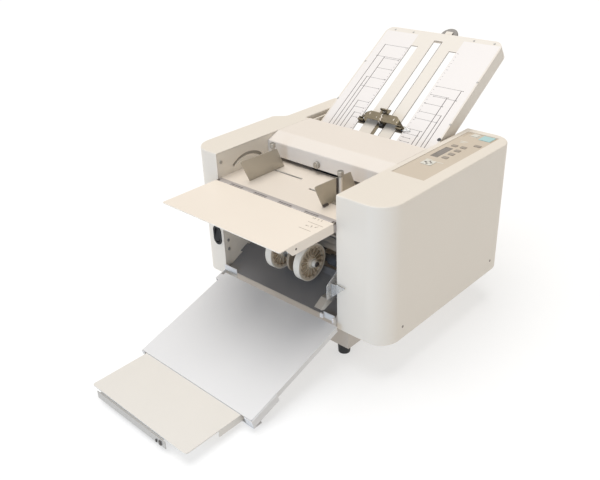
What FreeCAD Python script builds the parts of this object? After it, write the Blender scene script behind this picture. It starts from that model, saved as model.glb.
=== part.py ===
import FreeCAD, Part
import math
import os

# Desk paper folder: a friction-feed buckle folder that takes sheets from a front table, folds them in a
# four-roller group with two fold plates, and drops them on a ramp at the front. Millimetres.
# While it is being built: X = 0 half way across the machine, Y = 0 at the front faces of the two side
# cases (+Y is the way the sheets feed), Z = 0 the floor. The last step moves the origin to the middle of
# the box under the machine.

V = FreeCAD.Vector

# ---------------------------------------------------------------- driving dimensions
fit = 0.3                    # gap between pieces that sit in or beside each other
running = 0.05               # radial clearance of a shaft in its bore

machine_width = 520.0
case_length = 450.0          # side cases, front to back
case_top = 380.0
case_bottom = 85.0
case_wall = 3.0
right_case_width = 114.5
left_case_width = 79.0
right_outer = machine_width / 2
left_outer = -machine_width / 2
right_inner = right_outer - right_case_width
left_inner = left_outer + left_case_width
inner_width = right_inner - left_inner
mid_x = (left_inner + right_inner) / 2
plan_corner_r = 48.0         # large upright corners of the cases
skirt_r = 6.0                # lower front and rear edges, seen from the side
top_edge_r = 2.5
left_step_y = 249.0          # where the left case narrows
left_step_run = 20.0
left_notch_y = 290.0         # behind it the left case stands off from the frame
left_strip_width = 43.0
left_strip_inset = 11.0      # from the left frame's face to the narrow part
panel_margin = 12.5          # case edge to control panel
panel_width = 74.0
panel_length = 281.0
panel_rear_margin = 19.0
panel_ledge = 1.5
panel_thick = 1.2
panel_sink = 0.8             # panel face below the case top

frame_thick = 4.0
sheet = 2.0                  # table, tray and ramp sheet
foot_height = 25.0
foot_r = 14.0
foot_inset_x = 25.0
foot_inset_y = 17.0
base_inset = 29.0            # case front to frame foot
base_clear = 4.0             # tray wall below the case
pin_r = 4.0
journal_r = 6.0
bush_r = 9.0
bush_flange_r = 10.5
bush_flange = 1.5

table_top = 324.3
table_back = 208.0
table_flange = 16.0
flap_length = 148.5
flap_flange = 20.0
flap_end_slant = 18.0
flap_flange_past = 4.5         # side flange behind the hinge line
hinge_y = -2.5
hinge_r = 3.0
hinge_pin_r = 1.5
hinge_knuckles = 9
hinge_gap = 0.4
side_gap = 1.0               # table and flap to the frames

guide_spread = 201.0         # between the faces of the two side guides
guide_thick = 1.5
guide_height = 50.0
guide_front = 33.0
guide_back = 137.0
guide_lean = 23.0            # how far the guide's edges lean forward at the top
guide_foot_width = 30.0
left_stud_y = 109.0
right_stud_y = 82.0
guide_stud_r = 2.5
guide_stud_offset = 4.8      # stud to the guide's face
guide_slot = 6.0
guide_slot_inner = 22.0      # slot end to the middle of the table
guide_boss_height = 9.0
guide_knob_r = 6.5
guide_knob_z = 375.5
guide_knob_height = 9.0

cover_front = 152.0
cover_back = 290.0
cover_lip = 334.0            # lower edge of the front wall
cover_nose = 367.0           # where the front wall turns into the chamfer
cover_crown = 186.0          # where the chamfer meets the flat top
cover_wall = 3.0
cover_side_gap = 0.5
cover_skirt = 356.0
cover_pivot = (282.0, 368.0)
cover_pin_r = 3.0
cover_knob_aside = 16.25     # knob to the left of the middle
cover_knob_z = 344.0
cover_knob_r = 7.5

roller_r = 18.0
nip_gap = 0.6
nip_rise = 1.7               # feed nip above the table
roller_y = 228.0
roller_end = 9.0             # roller body to frame
feed_roller_y = 180.0
feed_roller_r = 19.0
exit_roller = (95.0, 170.0)
exit_roller_r = 12.0
exit_tyre_width = 22.0
exit_tyres = (-0.37, -0.23, -0.037, 0.24, 0.38)  # places as shares of the width between the frames
gear_teeth = 24
gear_offset = 5.0            # gear face to frame
gear_width = 10.0
pulley_offset = 21.0
pulley_width = 8.0
pulley_r = 28.0
motor_pulley_r = 11.0
motor_place = (240.0, 112.0)
motor_r = 33.0
motor_length = 82.0
motor_shaft_r = 4.0
belt_thick = 2.0

chute_front = (-2.0, 108.7)
chute_slope = 25.0
chute_back = 76.0
chute_riser = (84.0, 156.0)
stacker_rod = (104.0, 222.0)
stacker_axle = (40.0, 185.0)
stacker_wheel_r = 40.5
stacker_wheel_width = 16.0
stacker_wheel_spread = 80.0
stacker_aside = 15.75        # wheels to the right of the middle
stacker_axle_r = 4.0
stacker_arm_gap = 26.0
stacker_arm_aside = 10.0     # arm to the left of the middle between the wheels
stacker_disc = (28.0, 34.0)  # inner disc, from the right wheel's middle

ramp_slope = 17.59
ramp_edge = (-15.5, 105.7)   # machine end of the ramp, top face
ramp_length = 251.0
ramp_left_inset = 14.0       # ramp edge to the left frame's face
ramp_right_reach = 12.5      # ramp edge beyond the right frame's face
ramp_lip = 12.0
ramp_pivot = (8.0, 108.0)
ramp_bar = (-6.5, 105.5)     # lower front edge of the hinge bars
ramp_bar_height = 13.5
ramp_bar_reach = (28.0, 39.0) # length of the right and the left bar
bracket_length = 68.0
bracket_depth = 19.0
extension_left_inset = 13.0
extension_right_inset = 28.0
extension_reach = 129.24     # beyond the ramp's end
extension_tuck = 40.0        # how much of it is under the ramp
stopper_left_inset = 22.0
stopper_right_inset = 52.0
stopper_height = 16.0
stopper_sheet = 1.5
stopper_tongue = 86.0

plate_top_y = 587.9          # upper edge of the first fold plate
plate_top_z = 538.8
plate_slope = 33.57
plate_length = 364.0
plate_side_gap = 4.9
plate_depth = 33.0
plate_sheet = 1.2
plate_gap = 2.8
plate_corner_r = 20.0
plate_flange_length = 352.0
slot_spread = 52.5
slot_mid_width = 20.5
slot_side_width = 18.0
slot_mid_top = 25.0
slot_side_top = 50.0
slot_end = 345.0
slot_relief = 4.0            # lower plate's slots wider at each side
stop_place = 286.0           # paper stop, from the upper edge
stop_depth = 22.0
stop_rise = 14.0
stop_span = 124.0
stop_shoulder = 16.0
stop_taper = 26.0            # how much shorter the stop's rear edge is at each end
stop_screw_back = 26.0
stop_screw_r = 7.0
skew_knob_r = 22.0
skew_knob_aside = 9.0
skew_knob_drop = -4.0        # the knob's middle stands beyond the plate's upper edge
skew_tongue = 18.0           # tongue of the lower plate that carries the knob
plate_2_mouth = (257.0, 285.0)
plate_2_slope = -38.0
plate_2_length = 290.0
plate_2_depth = 15.0
plate_2_slot_margin = 30.0
stop_2_place = 205.0

switch_inset = 18.5          # switch to the left case's inner face
switch_z = 184.0
switch_width = 25.0
switch_height = 46.0
switch_rim = 4.0
switch_pad = 0.8              # flat round the switch, proud of the case front
switch_surround = 4.0
inlet_inset = 60.0
inlet_z = 130.0
inlet_width = 28.0
inlet_height = 20.0

# ---------------------------------------------------------------- worked out from them
cover_knob_x = mid_x - cover_knob_aside
stacker_mid = mid_x + stacker_aside
stacker_arm_x = stacker_mid - stacker_arm_aside
switch_x = left_inner - switch_inset
inlet_x = right_outer - inlet_inset
plate_width = inner_width - 2 * plate_side_gap
ramp_left = left_inner + ramp_left_inset
ramp_right = right_inner + ramp_right_reach
ramp_end = (ramp_edge[0] - ramp_length * math.cos(math.radians(ramp_slope)),
            ramp_edge[1] - ramp_length * math.sin(math.radians(ramp_slope)))
extension_left = ramp_left + extension_left_inset
extension_right = ramp_right - extension_right_inset
extension_front = ramp_end[0] - extension_reach
extension_top = ramp_end[1] - sheet * math.cos(math.radians(ramp_slope)) - fit
stopper_left = extension_left + stopper_left_inset
stopper_right = extension_right - stopper_right_inset
base_z = foot_height
base_top = base_z + sheet
base_front = base_inset
base_back = case_length - base_inset
frame_back = case_length - case_wall - fit
nip_z = table_top + nip_rise
centre_gap = 2 * roller_r + nip_gap
feed_roller_z = table_top + feed_roller_r + 2.7
roller_places = [(roller_y, nip_z + centre_gap / 2), (roller_y, nip_z - centre_gap / 2),
                 (roller_y + centre_gap, nip_z - centre_gap / 2), (roller_y, nip_z - 1.5 * centre_gap)]
shaft_places = roller_places + [(feed_roller_y, feed_roller_z), exit_roller]
panel_left = right_inner + panel_margin
panel_right = panel_left + panel_width
panel_back = case_length - panel_rear_margin
panel_front = panel_back - panel_length
panel_face = case_top - panel_sink
panel_seat = panel_face - panel_thick

pieces = {}


# ---------------------------------------------------------------- helpers
def box(x0, x1, y0, y1, z0, z1):
    return Part.makeBox(x1 - x0, y1 - y0, z1 - z0, V(x0, y0, z0))


def rod_x(x0, x1, place, radius):
    return Part.makeCylinder(radius, x1 - x0, V(x0, place[0], place[1]), V(1, 0, 0))


def rod_y(y0, y1, x, z, radius):
    return Part.makeCylinder(radius, y1 - y0, V(x, y0, z), V(0, 1, 0))


def rod_z(z0, z1, x, y, radius):
    return Part.makeCylinder(radius, z1 - z0, V(x, y, z0))


def outline(corners):
    """Flat face in XY through corners (a, b) or (a, b, radius), with round stretches as arcs."""
    points = [V(c[0], c[1], 0) for c in corners]
    ends = []
    for i, corner in enumerate(corners):
        here = points[i]
        radius = corner[2] if len(corner) > 2 else 0
        if radius <= 0:
            ends.append((here, here, here))
            continue
        back = (points[i - 1] - here).normalize()
        ahead = (points[(i + 1) % len(points)] - here).normalize()
        half = back.getAngle(ahead) / 2
        reach = radius / math.tan(half)
        centre = here + (back + ahead).normalize() * (radius / math.sin(half))
        middle = centre + (here - centre).normalize() * radius
        ends.append((here + back * reach, middle, here + ahead * reach))
    edges = []
    for i, (start, middle, end) in enumerate(ends):
        if start.distanceToPoint(end) > 1e-6:
            edges.append(Part.Arc(start, middle, end).toShape())
        following = ends[(i + 1) % len(ends)][0]
        if end.distanceToPoint(following) > 1e-6:
            edges.append(Part.LineSegment(end, following).toShape())
    return Part.Face(Part.Wire(edges))


def prism_xy(face, z0, z1):
    return face.extrude(V(0, 0, z1 - z0)).translated(V(0, 0, z0))


def prism_yz(face, x0, x1):
    solid = face.extrude(V(0, 0, x1 - x0)).rotated(V(0, 0, 0), V(1, 1, 1), 120)
    return solid.translated(V(x0, 0, 0))


def prism_xz(face, y0, y1):
    solid = face.extrude(V(0, 0, y1 - y0)).rotated(V(0, 0, 0), V(1, 0, 0), 90)
    return solid.translated(V(0, y1, 0))


def slab_yz(corners, x0, x1):
    return prism_yz(outline(corners), x0, x1)


def strip_yz(start, end, thick, x0, x1):
    """Flat sheet along X whose upper face runs from start to end in YZ."""
    run = V(end[0] - start[0], end[1] - start[1], 0).normalize()
    side = 1 if run[0] > 0 else -1
    down = (side * run[1] * thick, -side * run[0] * thick)
    corners = [start, end, (end[0] + down[0], end[1] + down[1]), (start[0] + down[0], start[1] + down[1])]
    return slab_yz(corners, x0, x1)


def fuse(first, *others):
    return first.multiFuse(list(others)).removeSplitter()


def group(*shapes):
    return Part.makeCompound(list(shapes))


def tilt(shape, slope, place):
    """Turns a shape built flat (Y along the slope, Z out of it) about X and moves it to (y, z)."""
    return shape.rotated(V(0, 0, 0), V(1, 0, 0), slope).translated(V(0, place[0], place[1]))


def on_slope(slope, place, along, out):
    """World (y, z) of a point given along a slope and out of it."""
    turn = math.radians(slope)
    return (place[0] + along * math.cos(turn) - out * math.sin(turn),
            place[1] + along * math.sin(turn) + out * math.cos(turn))


def stadium(x, z, width, height):
    return outline([(x - width / 2, z - height / 2, width / 2 - 0.01),
                    (x + width / 2, z - height / 2, width / 2 - 0.01),
                    (x + width / 2, z + height / 2, width / 2 - 0.01),
                    (x - width / 2, z + height / 2, width / 2 - 0.01)])


# ---------------------------------------------------------------- side cases
def side_outline(inset):
    low = case_bottom + inset
    return outline([(inset, low, skirt_r - inset), (case_length - inset, low, skirt_r - inset),
                    (case_length - inset, case_top + 1 - inset), (inset, case_top + 1 - inset)])


def case_shell(plan, inner_x, side, opening_back):
    """Hollow case, open on the side that the frame closes; side is +1 for the right case."""
    solid = prism_xy(plan, case_bottom, case_top)
    solid = solid.common(prism_yz(side_outline(0), -machine_width, machine_width))
    rim = [e for e in solid.Edges
           if e.BoundBox.ZMin > case_top - 0.01 and side * e.CenterOfMass.x > side * inner_x + 0.1]
    solid = solid.makeFillet(top_edge_r, rim)
    low, high = case_bottom + case_wall, case_top - case_wall
    hollow = prism_xy(plan.makeOffset2D(-case_wall), low, high)
    mouth_x = sorted((inner_x - side, inner_x + side * (case_wall + 1)))
    mouth = box(mouth_x[0], mouth_x[1], case_wall, opening_back, low, high)
    hollow = hollow.fuse(mouth).common(prism_yz(side_outline(case_wall), -machine_width, machine_width))
    notch_x = sorted((inner_x - side, inner_x + side * (frame_thick + fit)))
    notch = box(notch_x[0], notch_x[1], base_front - fit, base_back + fit, case_bottom - 1, low + 1)
    return solid.cut(hollow).cut(notch)


def key_list():
    """Key name, middle of its cap and its size, all on the control panel."""
    grid_x = panel_left + 41.8
    small = (12.5, 11.0)
    keys = [("start_key", panel_left + 54.8, panel_back - 16.8, 27.0, 27.0),
            ("stop_key", panel_left + 25.5, panel_back - 13.0, 14.0, 14.0),
            ("test_key", panel_left + 60.5, panel_front + 215.5, 15.0, 10.0),
            ("arrow_key", panel_left + 30.0, panel_front + 81.0, 24.0, 24.0),
            ("set_key_1", panel_left + 21.6, panel_front + 190.5, small[0], small[1])]
    for i in range(4):
        keys.append(("set_key_%d" % (i + 2), grid_x, panel_front + 191.5 - i * 22.8, small[0], small[1]))
    return keys


def key_outline(x, y, width, depth, grow):
    wide, deep = width / 2 + grow, depth / 2 + grow
    corner = 1.5 + grow
    return outline([(x - wide, y - deep, corner), (x + wide, y - deep, corner),
                    (x + wide, y + deep, corner), (x - wide, y + deep, corner)])


display_place = (panel_left + 19.6, panel_front + 145.0, 17.0, 60.0)


def right_case():
    plan = outline([(right_inner, 0), (right_outer, 0, plan_corner_r),
                    (right_outer, case_length, plan_corner_r), (right_inner, case_length)])
    shell = case_shell(plan, right_inner, 1, case_length - case_wall)
    pocket = box(panel_left - fit, panel_right + fit, panel_front - fit, panel_back + fit,
                 panel_seat, case_top + 1)
    window = box(panel_left + panel_ledge, panel_right - panel_ledge, panel_front + panel_ledge,
                 panel_back - panel_ledge, case_top - case_wall - 1, case_top)
    socket = box(inlet_x - inlet_width / 2 - fit, inlet_x + inlet_width / 2 + fit,
                 case_length - case_wall - 1, case_length + 1,
                 inlet_z - inlet_height / 2 - fit, inlet_z + inlet_height / 2 + fit)
    return shell.cut(pocket).cut(window).cut(socket)


def left_case():
    strip_inner = left_inner - left_strip_inset
    strip_outer = strip_inner - left_strip_width
    plan = outline([(left_inner, 0), (left_inner, left_notch_y), (strip_inner, left_notch_y),
                    (strip_inner, case_length), (strip_outer, case_length, 12),
                    (strip_outer, left_step_y + left_step_run, 15), (left_outer, left_step_y, 15),
                    (left_outer, 0, plan_corner_r)])
    shell = case_shell(plan, left_inner, -1, left_notch_y - case_wall)
    frame_gap = box(left_inner - frame_thick - fit, left_inner + 1, left_notch_y - case_wall - 1,
                    left_notch_y + 1, case_bottom + case_wall, case_top - case_wall)
    pad = prism_xz(stadium(switch_x, switch_z, switch_width + 2 * switch_surround,
                           switch_height + 2 * switch_surround), -switch_pad, case_wall)
    hole = prism_xz(stadium(switch_x, switch_z, switch_width - switch_rim, switch_height - switch_rim),
                    -switch_pad - 1, case_wall + 9)
    return fuse(shell.cut(frame_gap), pad).cut(hole)


def control_panel():
    plate = box(panel_left, panel_right, panel_front, panel_back, panel_seat, panel_face)
    for name, x, y, width, depth in key_list():
        plate = plate.cut(prism_xy(key_outline(x, y, width, depth, fit), panel_seat - 1, panel_face + 1))
    x, y, width, depth = display_place
    return plate.cut(box(x - width / 2 - fit, x + width / 2 + fit, y - depth / 2 - fit, y + depth / 2 + fit,
                         panel_seat - 1, panel_face + 1))


key_travel = 1.0
key_proud = 0.9
key_board_top = case_top - 13.4


def key(x, y, width, depth):
    flange_top = panel_seat - fit
    cap = prism_xy(key_outline(x, y, width, depth, 0), flange_top - 1.4, panel_face + key_proud)
    flange = prism_xy(key_outline(x, y, width, depth, 0.9), flange_top - 1.4, flange_top)
    stem = rod_z(key_board_top + key_travel + fit, flange_top - 1, x, y, 2.5)
    return fuse(cap, flange, stem)


def key_board():
    board_left = right_inner + frame_thick + 3
    board_right = panel_right + 6
    board = box(board_left, board_right, panel_front + 5, panel_back - 5, key_board_top - 1.6, key_board_top)
    posts = [rod_z(key_board_top - 1, case_top - case_wall, x, y, 2.8)
             for x in (board_left + 3, board_right - 3) for y in (panel_front + 12, panel_back - 12)]
    return fuse(board, *posts)


def display_window():
    x, y, width, depth = display_place
    return box(x - width / 2, x + width / 2, y - depth / 2, y + depth / 2,
               panel_seat - 1.5, panel_face - 0.3)


switch_depth = 20.0
rocker_width = switch_width - 11.0
rocker_height = switch_height - 13.0
rocker_pivot = (6.0 - switch_pad, switch_z)


def switch_bezel():
    front = -switch_pad
    rim = prism_xz(stadium(switch_x, switch_z, switch_width, switch_height), front - 2, front)
    barrel = prism_xz(stadium(switch_x, switch_z, switch_width - switch_rim - 2 * fit,
                              switch_height - switch_rim - 2 * fit), front - 1, switch_depth)
    well = prism_xz(stadium(switch_x, switch_z, rocker_width + 1.6, rocker_height + 3),
                    front - 3, switch_depth - 3)
    pin = rod_x(switch_x - rocker_width / 2 - 2, switch_x + rocker_width / 2 + 2, rocker_pivot, 1.2)
    return fuse(rim.fuse(barrel).cut(well), pin)


def power_rocker():
    low, high = switch_z - rocker_height / 2, switch_z + rocker_height / 2
    y = rocker_pivot[0]
    body = slab_yz([(y + 4, switch_z - 6), (y - 6, low, 1.5), (y - 9.2, low + 4, 2), (y - 6.6, switch_z, 8),
                    (y - 4.4, high - 4, 2), (y - 3.4, high, 1), (y + 4, switch_z + 6)],
                   switch_x - rocker_width / 2, switch_x + rocker_width / 2)
    body = body.common(prism_xz(stadium(switch_x, switch_z, rocker_width, rocker_height), y - 20, y + 20))
    return body.cut(rod_x(switch_x - switch_width, switch_x + switch_width, rocker_pivot, 1.2 + running))


def power_inlet():
    back = case_length
    wide, high = inlet_width / 2, inlet_height / 2
    flange = box(inlet_x - wide - 5, inlet_x + wide + 5, back, back + 2,
                 inlet_z - high - 3, inlet_z + high + 3)
    body = box(inlet_x - wide, inlet_x + wide, back - 22, back + 2, inlet_z - high, inlet_z + high)
    well = box(inlet_x - wide + 2.5, inlet_x + wide - 2.5, back - 17, back + 3,
               inlet_z - high + 2.5, inlet_z + high - 2.5)
    blades = [box(inlet_x + dx - 1, inlet_x + dx + 1, back - 18, back - 4,
                  inlet_z + dz - 2, inlet_z + dz + 2)
              for dx, dz in ((-7, 0), (0, 3), (7, 0))]
    return fuse(flange.fuse(body).cut(well), *blades)


# ---------------------------------------------------------------- frame
def frame_outline(rear_top):
    front = case_wall + fit
    low = case_bottom + case_wall + fit
    high = case_top - case_wall - fit
    corner = skirt_r - case_wall
    step = left_notch_y - case_wall - fit
    top = [(frame_back, high)]
    if rear_top < high:
        top = [(frame_back, rear_top), (step, rear_top), (step, high)]
    return outline([(base_front, base_top), (base_back, base_top), (base_back, low),
                    (frame_back, low, corner)] + top + [(front, high), (front, low, corner),
                                                        (base_front, low)])


def bored(plate, x0, x1):
    for place in shaft_places:
        plate = plate.cut(rod_x(x0 - 1, x1 + 1, place, bush_r + running))
    return plate


arc_centre = (88.0, 288.0)
arc_r = 66.5
arc_width = 7.0


def arc_slot(x0, x1):
    ring = rod_x(x0, x1, arc_centre, arc_r + arc_width / 2)
    ring = ring.cut(rod_x(x0, x1, arc_centre, arc_r - arc_width / 2))
    reach = 2 * arc_r
    wedge = slab_yz([arc_centre, (arc_centre[0] + reach * math.cos(math.radians(50)), arc_centre[1] + reach
                                  * math.sin(math.radians(50))),
                     (arc_centre[0], arc_centre[1] + reach),
                     (arc_centre[0] + reach * math.cos(math.radians(130)), arc_centre[1] + reach
                      * math.sin(math.radians(130)))], x0, x1)
    return ring.common(wedge)


def left_frame():
    x0, x1 = left_inner - frame_thick, left_inner
    plate = bored(prism_yz(frame_outline(case_top - 8), x0, x1), x0, x1)
    plate = plate.cut(arc_slot(x0 - 1, x1 + 1))
    return plate.cut(rod_x(x0 - 1, x1 + 1, motor_place, motor_shaft_r + 4))


def right_frame():
    x0, x1 = right_inner, right_inner + frame_thick
    return bored(prism_yz(frame_outline(case_top), x0, x1), x0, x1)


def bearing_bushes():
    bushes = []
    for place in shaft_places:
        for face, out in ((left_inner, -1), (right_inner, 1)):
            inside, outside = face, face + out * frame_thick
            tube = rod_x(min(inside, outside), max(inside, outside), place, bush_r)
            far = outside + out * bush_flange
            collar = rod_x(min(outside, far), max(outside, far), place, bush_flange_r)
            bore = rod_x(left_outer, right_outer, place, journal_r + running)
            bushes.append(tube.fuse(collar).cut(bore).removeSplitter())
    return group(*bushes)


tray_left = left_inner - frame_thick - fit - sheet
tray_right = right_inner + frame_thick + fit + sheet
tray_front = base_front - fit - sheet
tray_back = base_back + fit + sheet


def base_tray():
    outer = box(tray_left, tray_right, tray_front, tray_back, base_z, case_bottom - base_clear)
    inner = box(tray_left + sheet, tray_right - sheet, tray_front + sheet, tray_back - sheet,
                base_top, case_top)
    return outer.cut(inner)


def feet():
    places = [(x, y) for x in (tray_left + foot_inset_x, tray_right - foot_inset_x)
              for y in (tray_front + foot_inset_y, tray_back - foot_inset_y)]
    cones = [Part.makeCone(foot_r - 1.5, foot_r, foot_height, V(x, y, 0)) for x, y in places]
    return group(*cones)


tie_bar_r = 5.0


def tie_bars():
    places = [(exit_roller[0] - 35, case_bottom + 10), (roller_y + 4 * roller_r, exit_roller[1] + 20),
              (base_back - 14, base_top + 40), (frame_back - 12, case_top - 40), stacker_rod]
    return group(*[rod_x(left_inner, right_inner, place, tie_bar_r) for place in places])


plate_place = (plate_top_y, plate_top_z)


def plate_pin_places():
    """Pins that carry the two fold plates: under the flanges and against their lower ends."""
    under = [on_slope(plate_slope, plate_place, -s, -plate_depth - fit - pin_r) for s in (270.0, 340.0)]
    ahead = [on_slope(plate_slope, plate_place, -plate_flange_length - fit - pin_r, -18.0)]
    under_2 = [on_slope(plate_2_slope, plate_2_mouth, s, -plate_2_depth - fit - pin_r)
               for s in (40.0, 190.0)]
    ahead_2 = [on_slope(plate_2_slope, plate_2_mouth, -fit - pin_r, -8.0)]
    return under + ahead + under_2 + ahead_2


screw_places = [(11.0, 358.0), (12.0, 172.0), (12.0, 150.0), (200.0, 300.0)]


def frame_pins():
    shapes = []
    for place in plate_pin_places():
        shapes.append(rod_x(left_inner, left_inner + 8, place, pin_r))
        shapes.append(rod_x(right_inner - 8, right_inner, place, pin_r))
    for face, inward in ((left_inner, 1), (right_inner, -1)):
        span = sorted((face, face + inward * (cover_side_gap + cover_wall + 1)))
        shapes.append(rod_x(span[0], span[1], cover_pivot, cover_pin_r))
        span = sorted((face, face + inward * 4.6))
        head = sorted((face + inward * 4.4, face + inward * 6.4))
        shapes.append(rod_x(span[0], span[1], ramp_pivot, pin_r).fuse(
            rod_x(head[0], head[1], ramp_pivot, pin_r + 2.5)).removeSplitter())
        span = sorted((face, face + inward * 1.6))
        for place in screw_places:
            shapes.append(rod_x(span[0], span[1], place, 3.6))
    return group(*shapes)


# ---------------------------------------------------------------- feed table, flap and guides
def knuckles(first):
    """Every second knuckle of the flap hinge, from the first or second one on."""
    start, end = left_inner + 8, right_inner - 8
    pitch = (end - start) / hinge_knuckles
    spans = []
    for i in range(first, hinge_knuckles, 2):
        spans.append((start + i * pitch + hinge_gap / 2, start + (i + 1) * pitch - hinge_gap / 2))
    return spans


hinge_z = table_top - hinge_r
table_left = left_inner + side_gap
table_right = right_inner - side_gap
left_stud = (mid_x - guide_spread / 2 - guide_stud_offset, left_stud_y)
right_stud = (mid_x + guide_spread / 2 + guide_stud_offset, right_stud_y)


def hinged(plate, first, edge):
    for x0, x1 in knuckles(first):
        y0, y1 = sorted((hinge_y, edge))
        tongue = box(x0, x1, y0, y1, table_top - sheet, table_top)
        plate = plate.fuse(tongue).fuse(rod_x(x0, x1, (hinge_y, hinge_z), hinge_r))
    bore = rod_x(left_outer, right_outer, (hinge_y, hinge_z), hinge_pin_r + running)
    return plate.cut(bore).removeSplitter()


def feed_table():
    front = hinge_y + hinge_r + 0.7
    plate = box(table_left, table_right, front, table_back, table_top - sheet, table_top)
    for x0, x1 in ((left_inner, left_inner + sheet), (right_inner - sheet, right_inner)):
        plate = plate.fuse(box(x0, x1, front + 4, table_back - 46, table_top - table_flange, table_top))
    for x0, x1, stud_y in ((table_left + 8, mid_x - guide_slot_inner, left_stud_y),
                           (mid_x + guide_slot_inner, table_right - 8, right_stud_y)):
        plate = plate.cut(box(x0, x1, stud_y - guide_slot / 2, stud_y + guide_slot / 2,
                              table_top - sheet - 1, table_top + 1))
    plate = plate.cut(box(mid_x - 45, mid_x + 45, feed_roller_y - 18, feed_roller_y + 18,
                          table_top - sheet - 1, table_top + 1))
    return hinged(plate, 0, front)


def front_flap():
    back = hinge_y - hinge_r - 0.9
    front = -flap_length
    plate = prism_xy(outline([(table_left, front, 4), (table_right, front, 4), (table_right, back),
                              (table_left, back)]), table_top - sheet, table_top)
    for x0 in (table_left, table_right - sheet):
        past = hinge_y + flap_flange_past
        flange = slab_yz([(front + 14, table_top - 0.5),
                          (front + 14 + flap_end_slant, table_top - flap_flange),
                          (past, table_top - flap_flange), (past, table_top - sheet - 1.5),
                          (back - 2, table_top - sheet - 1.5), (back - 2, table_top - 0.5)], x0, x0 + sheet)
        plate = plate.fuse(flange)
    return hinged(plate, 1, back)


def flap_hinge_pin():
    return rod_x(left_inner + 7, right_inner - 7, (hinge_y, hinge_z), hinge_pin_r)


def side_guide_plate(side):
    """Side guide: upright plate with its foot on the table; side is -1 for the left one."""
    face = mid_x + side * guide_spread / 2
    low = table_top + fit
    high = table_top + guide_height
    x0, x1 = sorted((face, face + side * guide_thick))
    plate = slab_yz([(guide_front, low), (guide_back, low), (guide_back - guide_lean + 3, high - 4, 3),
                     (guide_front - guide_lean, high, 3)], x0, x1)
    x0, x1 = sorted((face, face + side * guide_foot_width))
    stud_x, stud_y = left_stud if side < 0 else right_stud
    foot = box(x0, x1, stud_y - 26, stud_y + 26, low, low + sheet)
    key_block = box(stud_x - 4.5, stud_x + 4.5, stud_y - guide_slot / 2 + fit,
                    stud_y + guide_slot / 2 - fit, table_top - sheet - fit - 1, low + 1)
    keeper = box(stud_x - 9, stud_x + 4, stud_y - 8, stud_y + 8,
                 table_top - sheet - fit - 3, table_top - sheet - fit)
    boss = rod_z(low + 1, low + guide_boss_height, stud_x, stud_y, guide_stud_r + 1.7)
    bore = rod_z(low, case_top, stud_x, stud_y, guide_stud_r + running)
    return fuse(plate, foot, key_block, keeper, boss).cut(bore)


def guide_knob(stud):
    x, y = stud
    post = rod_z(table_top + 2 * fit, guide_knob_z + 1, x, y, guide_stud_r)
    top = guide_knob_z + guide_knob_height
    head = fuse(rod_z(guide_knob_z, top, x, y, guide_knob_r),
                rod_z(guide_knob_z - 3, guide_knob_z, x, y, guide_knob_r - 2.5))
    dish = rod_z(top - 1.2, top + 1, x, y, guide_knob_r - 2)
    return fuse(post, head.cut(dish))


# ---------------------------------------------------------------- top cover
def top_cover():
    x0, x1 = left_inner + cover_side_gap, right_inner - cover_side_gap
    corners = [(cover_front, cover_lip), (cover_front, cover_nose, 3), (cover_crown, case_top, 10),
               (cover_back, case_top), (cover_back, cover_skirt), (cover_front + 12, cover_skirt),
               (cover_front + 12, cover_lip)]
    solid = prism_yz(outline(corners), x0, x1)
    slope = math.atan2(case_top - cover_nose, cover_crown - cover_front)
    drop = cover_wall * math.tan(math.pi / 4 - slope / 2)
    hollow = slab_yz([(cover_front + cover_wall, cover_lip - 1),
                      (cover_front + cover_wall, cover_nose - drop, 1.5),
                      (cover_crown + cover_wall * math.tan(slope / 2), case_top - cover_wall, 8),
                      (cover_back + 1, case_top - cover_wall), (cover_back + 1, cover_lip - 1)],
                     x0 + cover_wall, x1 - cover_wall)
    shell = solid.cut(hollow)
    shell = shell.cut(rod_x(left_outer, right_outer, cover_pivot, cover_pin_r + running))
    return shell.cut(rod_y(cover_front - 1, cover_front + cover_wall + 1, cover_knob_x, cover_knob_z, 2.5))


def cover_knob():
    back = cover_front + cover_wall
    head = rod_y(cover_front - 8, cover_front - 0.2, cover_knob_x, cover_knob_z, cover_knob_r)
    stem = rod_y(cover_front - 1, back + 5, cover_knob_x, cover_knob_z, 2.5 - running)
    nut = rod_y(back + 0.2, back + 4, cover_knob_x, cover_knob_z, 5)
    return fuse(head, stem, nut)


# ---------------------------------------------------------------- rollers and drive
def stepped_roller(place, radius, left_reach, tyres=None):
    x0, x1 = left_inner + roller_end, right_inner - roller_end
    core = radius if tyres is None else journal_r + 2
    shapes = [rod_x(x0, x1, place, core),
              rod_x(left_inner - left_reach, right_inner + frame_thick + bush_flange + 4, place, journal_r)]
    for x, width in tyres or []:
        shapes.append(rod_x(x - width / 2, x + width / 2, place, radius))
    return fuse(*shapes)


def gear(place, half_turn):
    module = centre_gap / gear_teeth
    root, tip = centre_gap / 2 - 1.2 * module, centre_gap / 2 + 0.8 * module
    corners = []
    for i in range(gear_teeth):
        for part, radius in ((-0.29, root), (-0.13, tip), (0.13, tip), (0.29, root)):
            turn = 2 * math.pi * (i + part + (0.5 if half_turn else 0)) / gear_teeth
            corners.append((place[0] + radius * math.cos(turn), place[1] + radius * math.sin(turn)))
    x1 = left_inner - frame_thick - gear_offset
    wheel = slab_yz(corners, x1 - gear_width, x1)
    return wheel.cut(rod_x(x1 - gear_width - 1, x1 + 1, place, journal_r + running))


pulley_x1 = left_inner - pulley_offset - frame_thick
pulley_x0 = pulley_x1 - pulley_width


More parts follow.
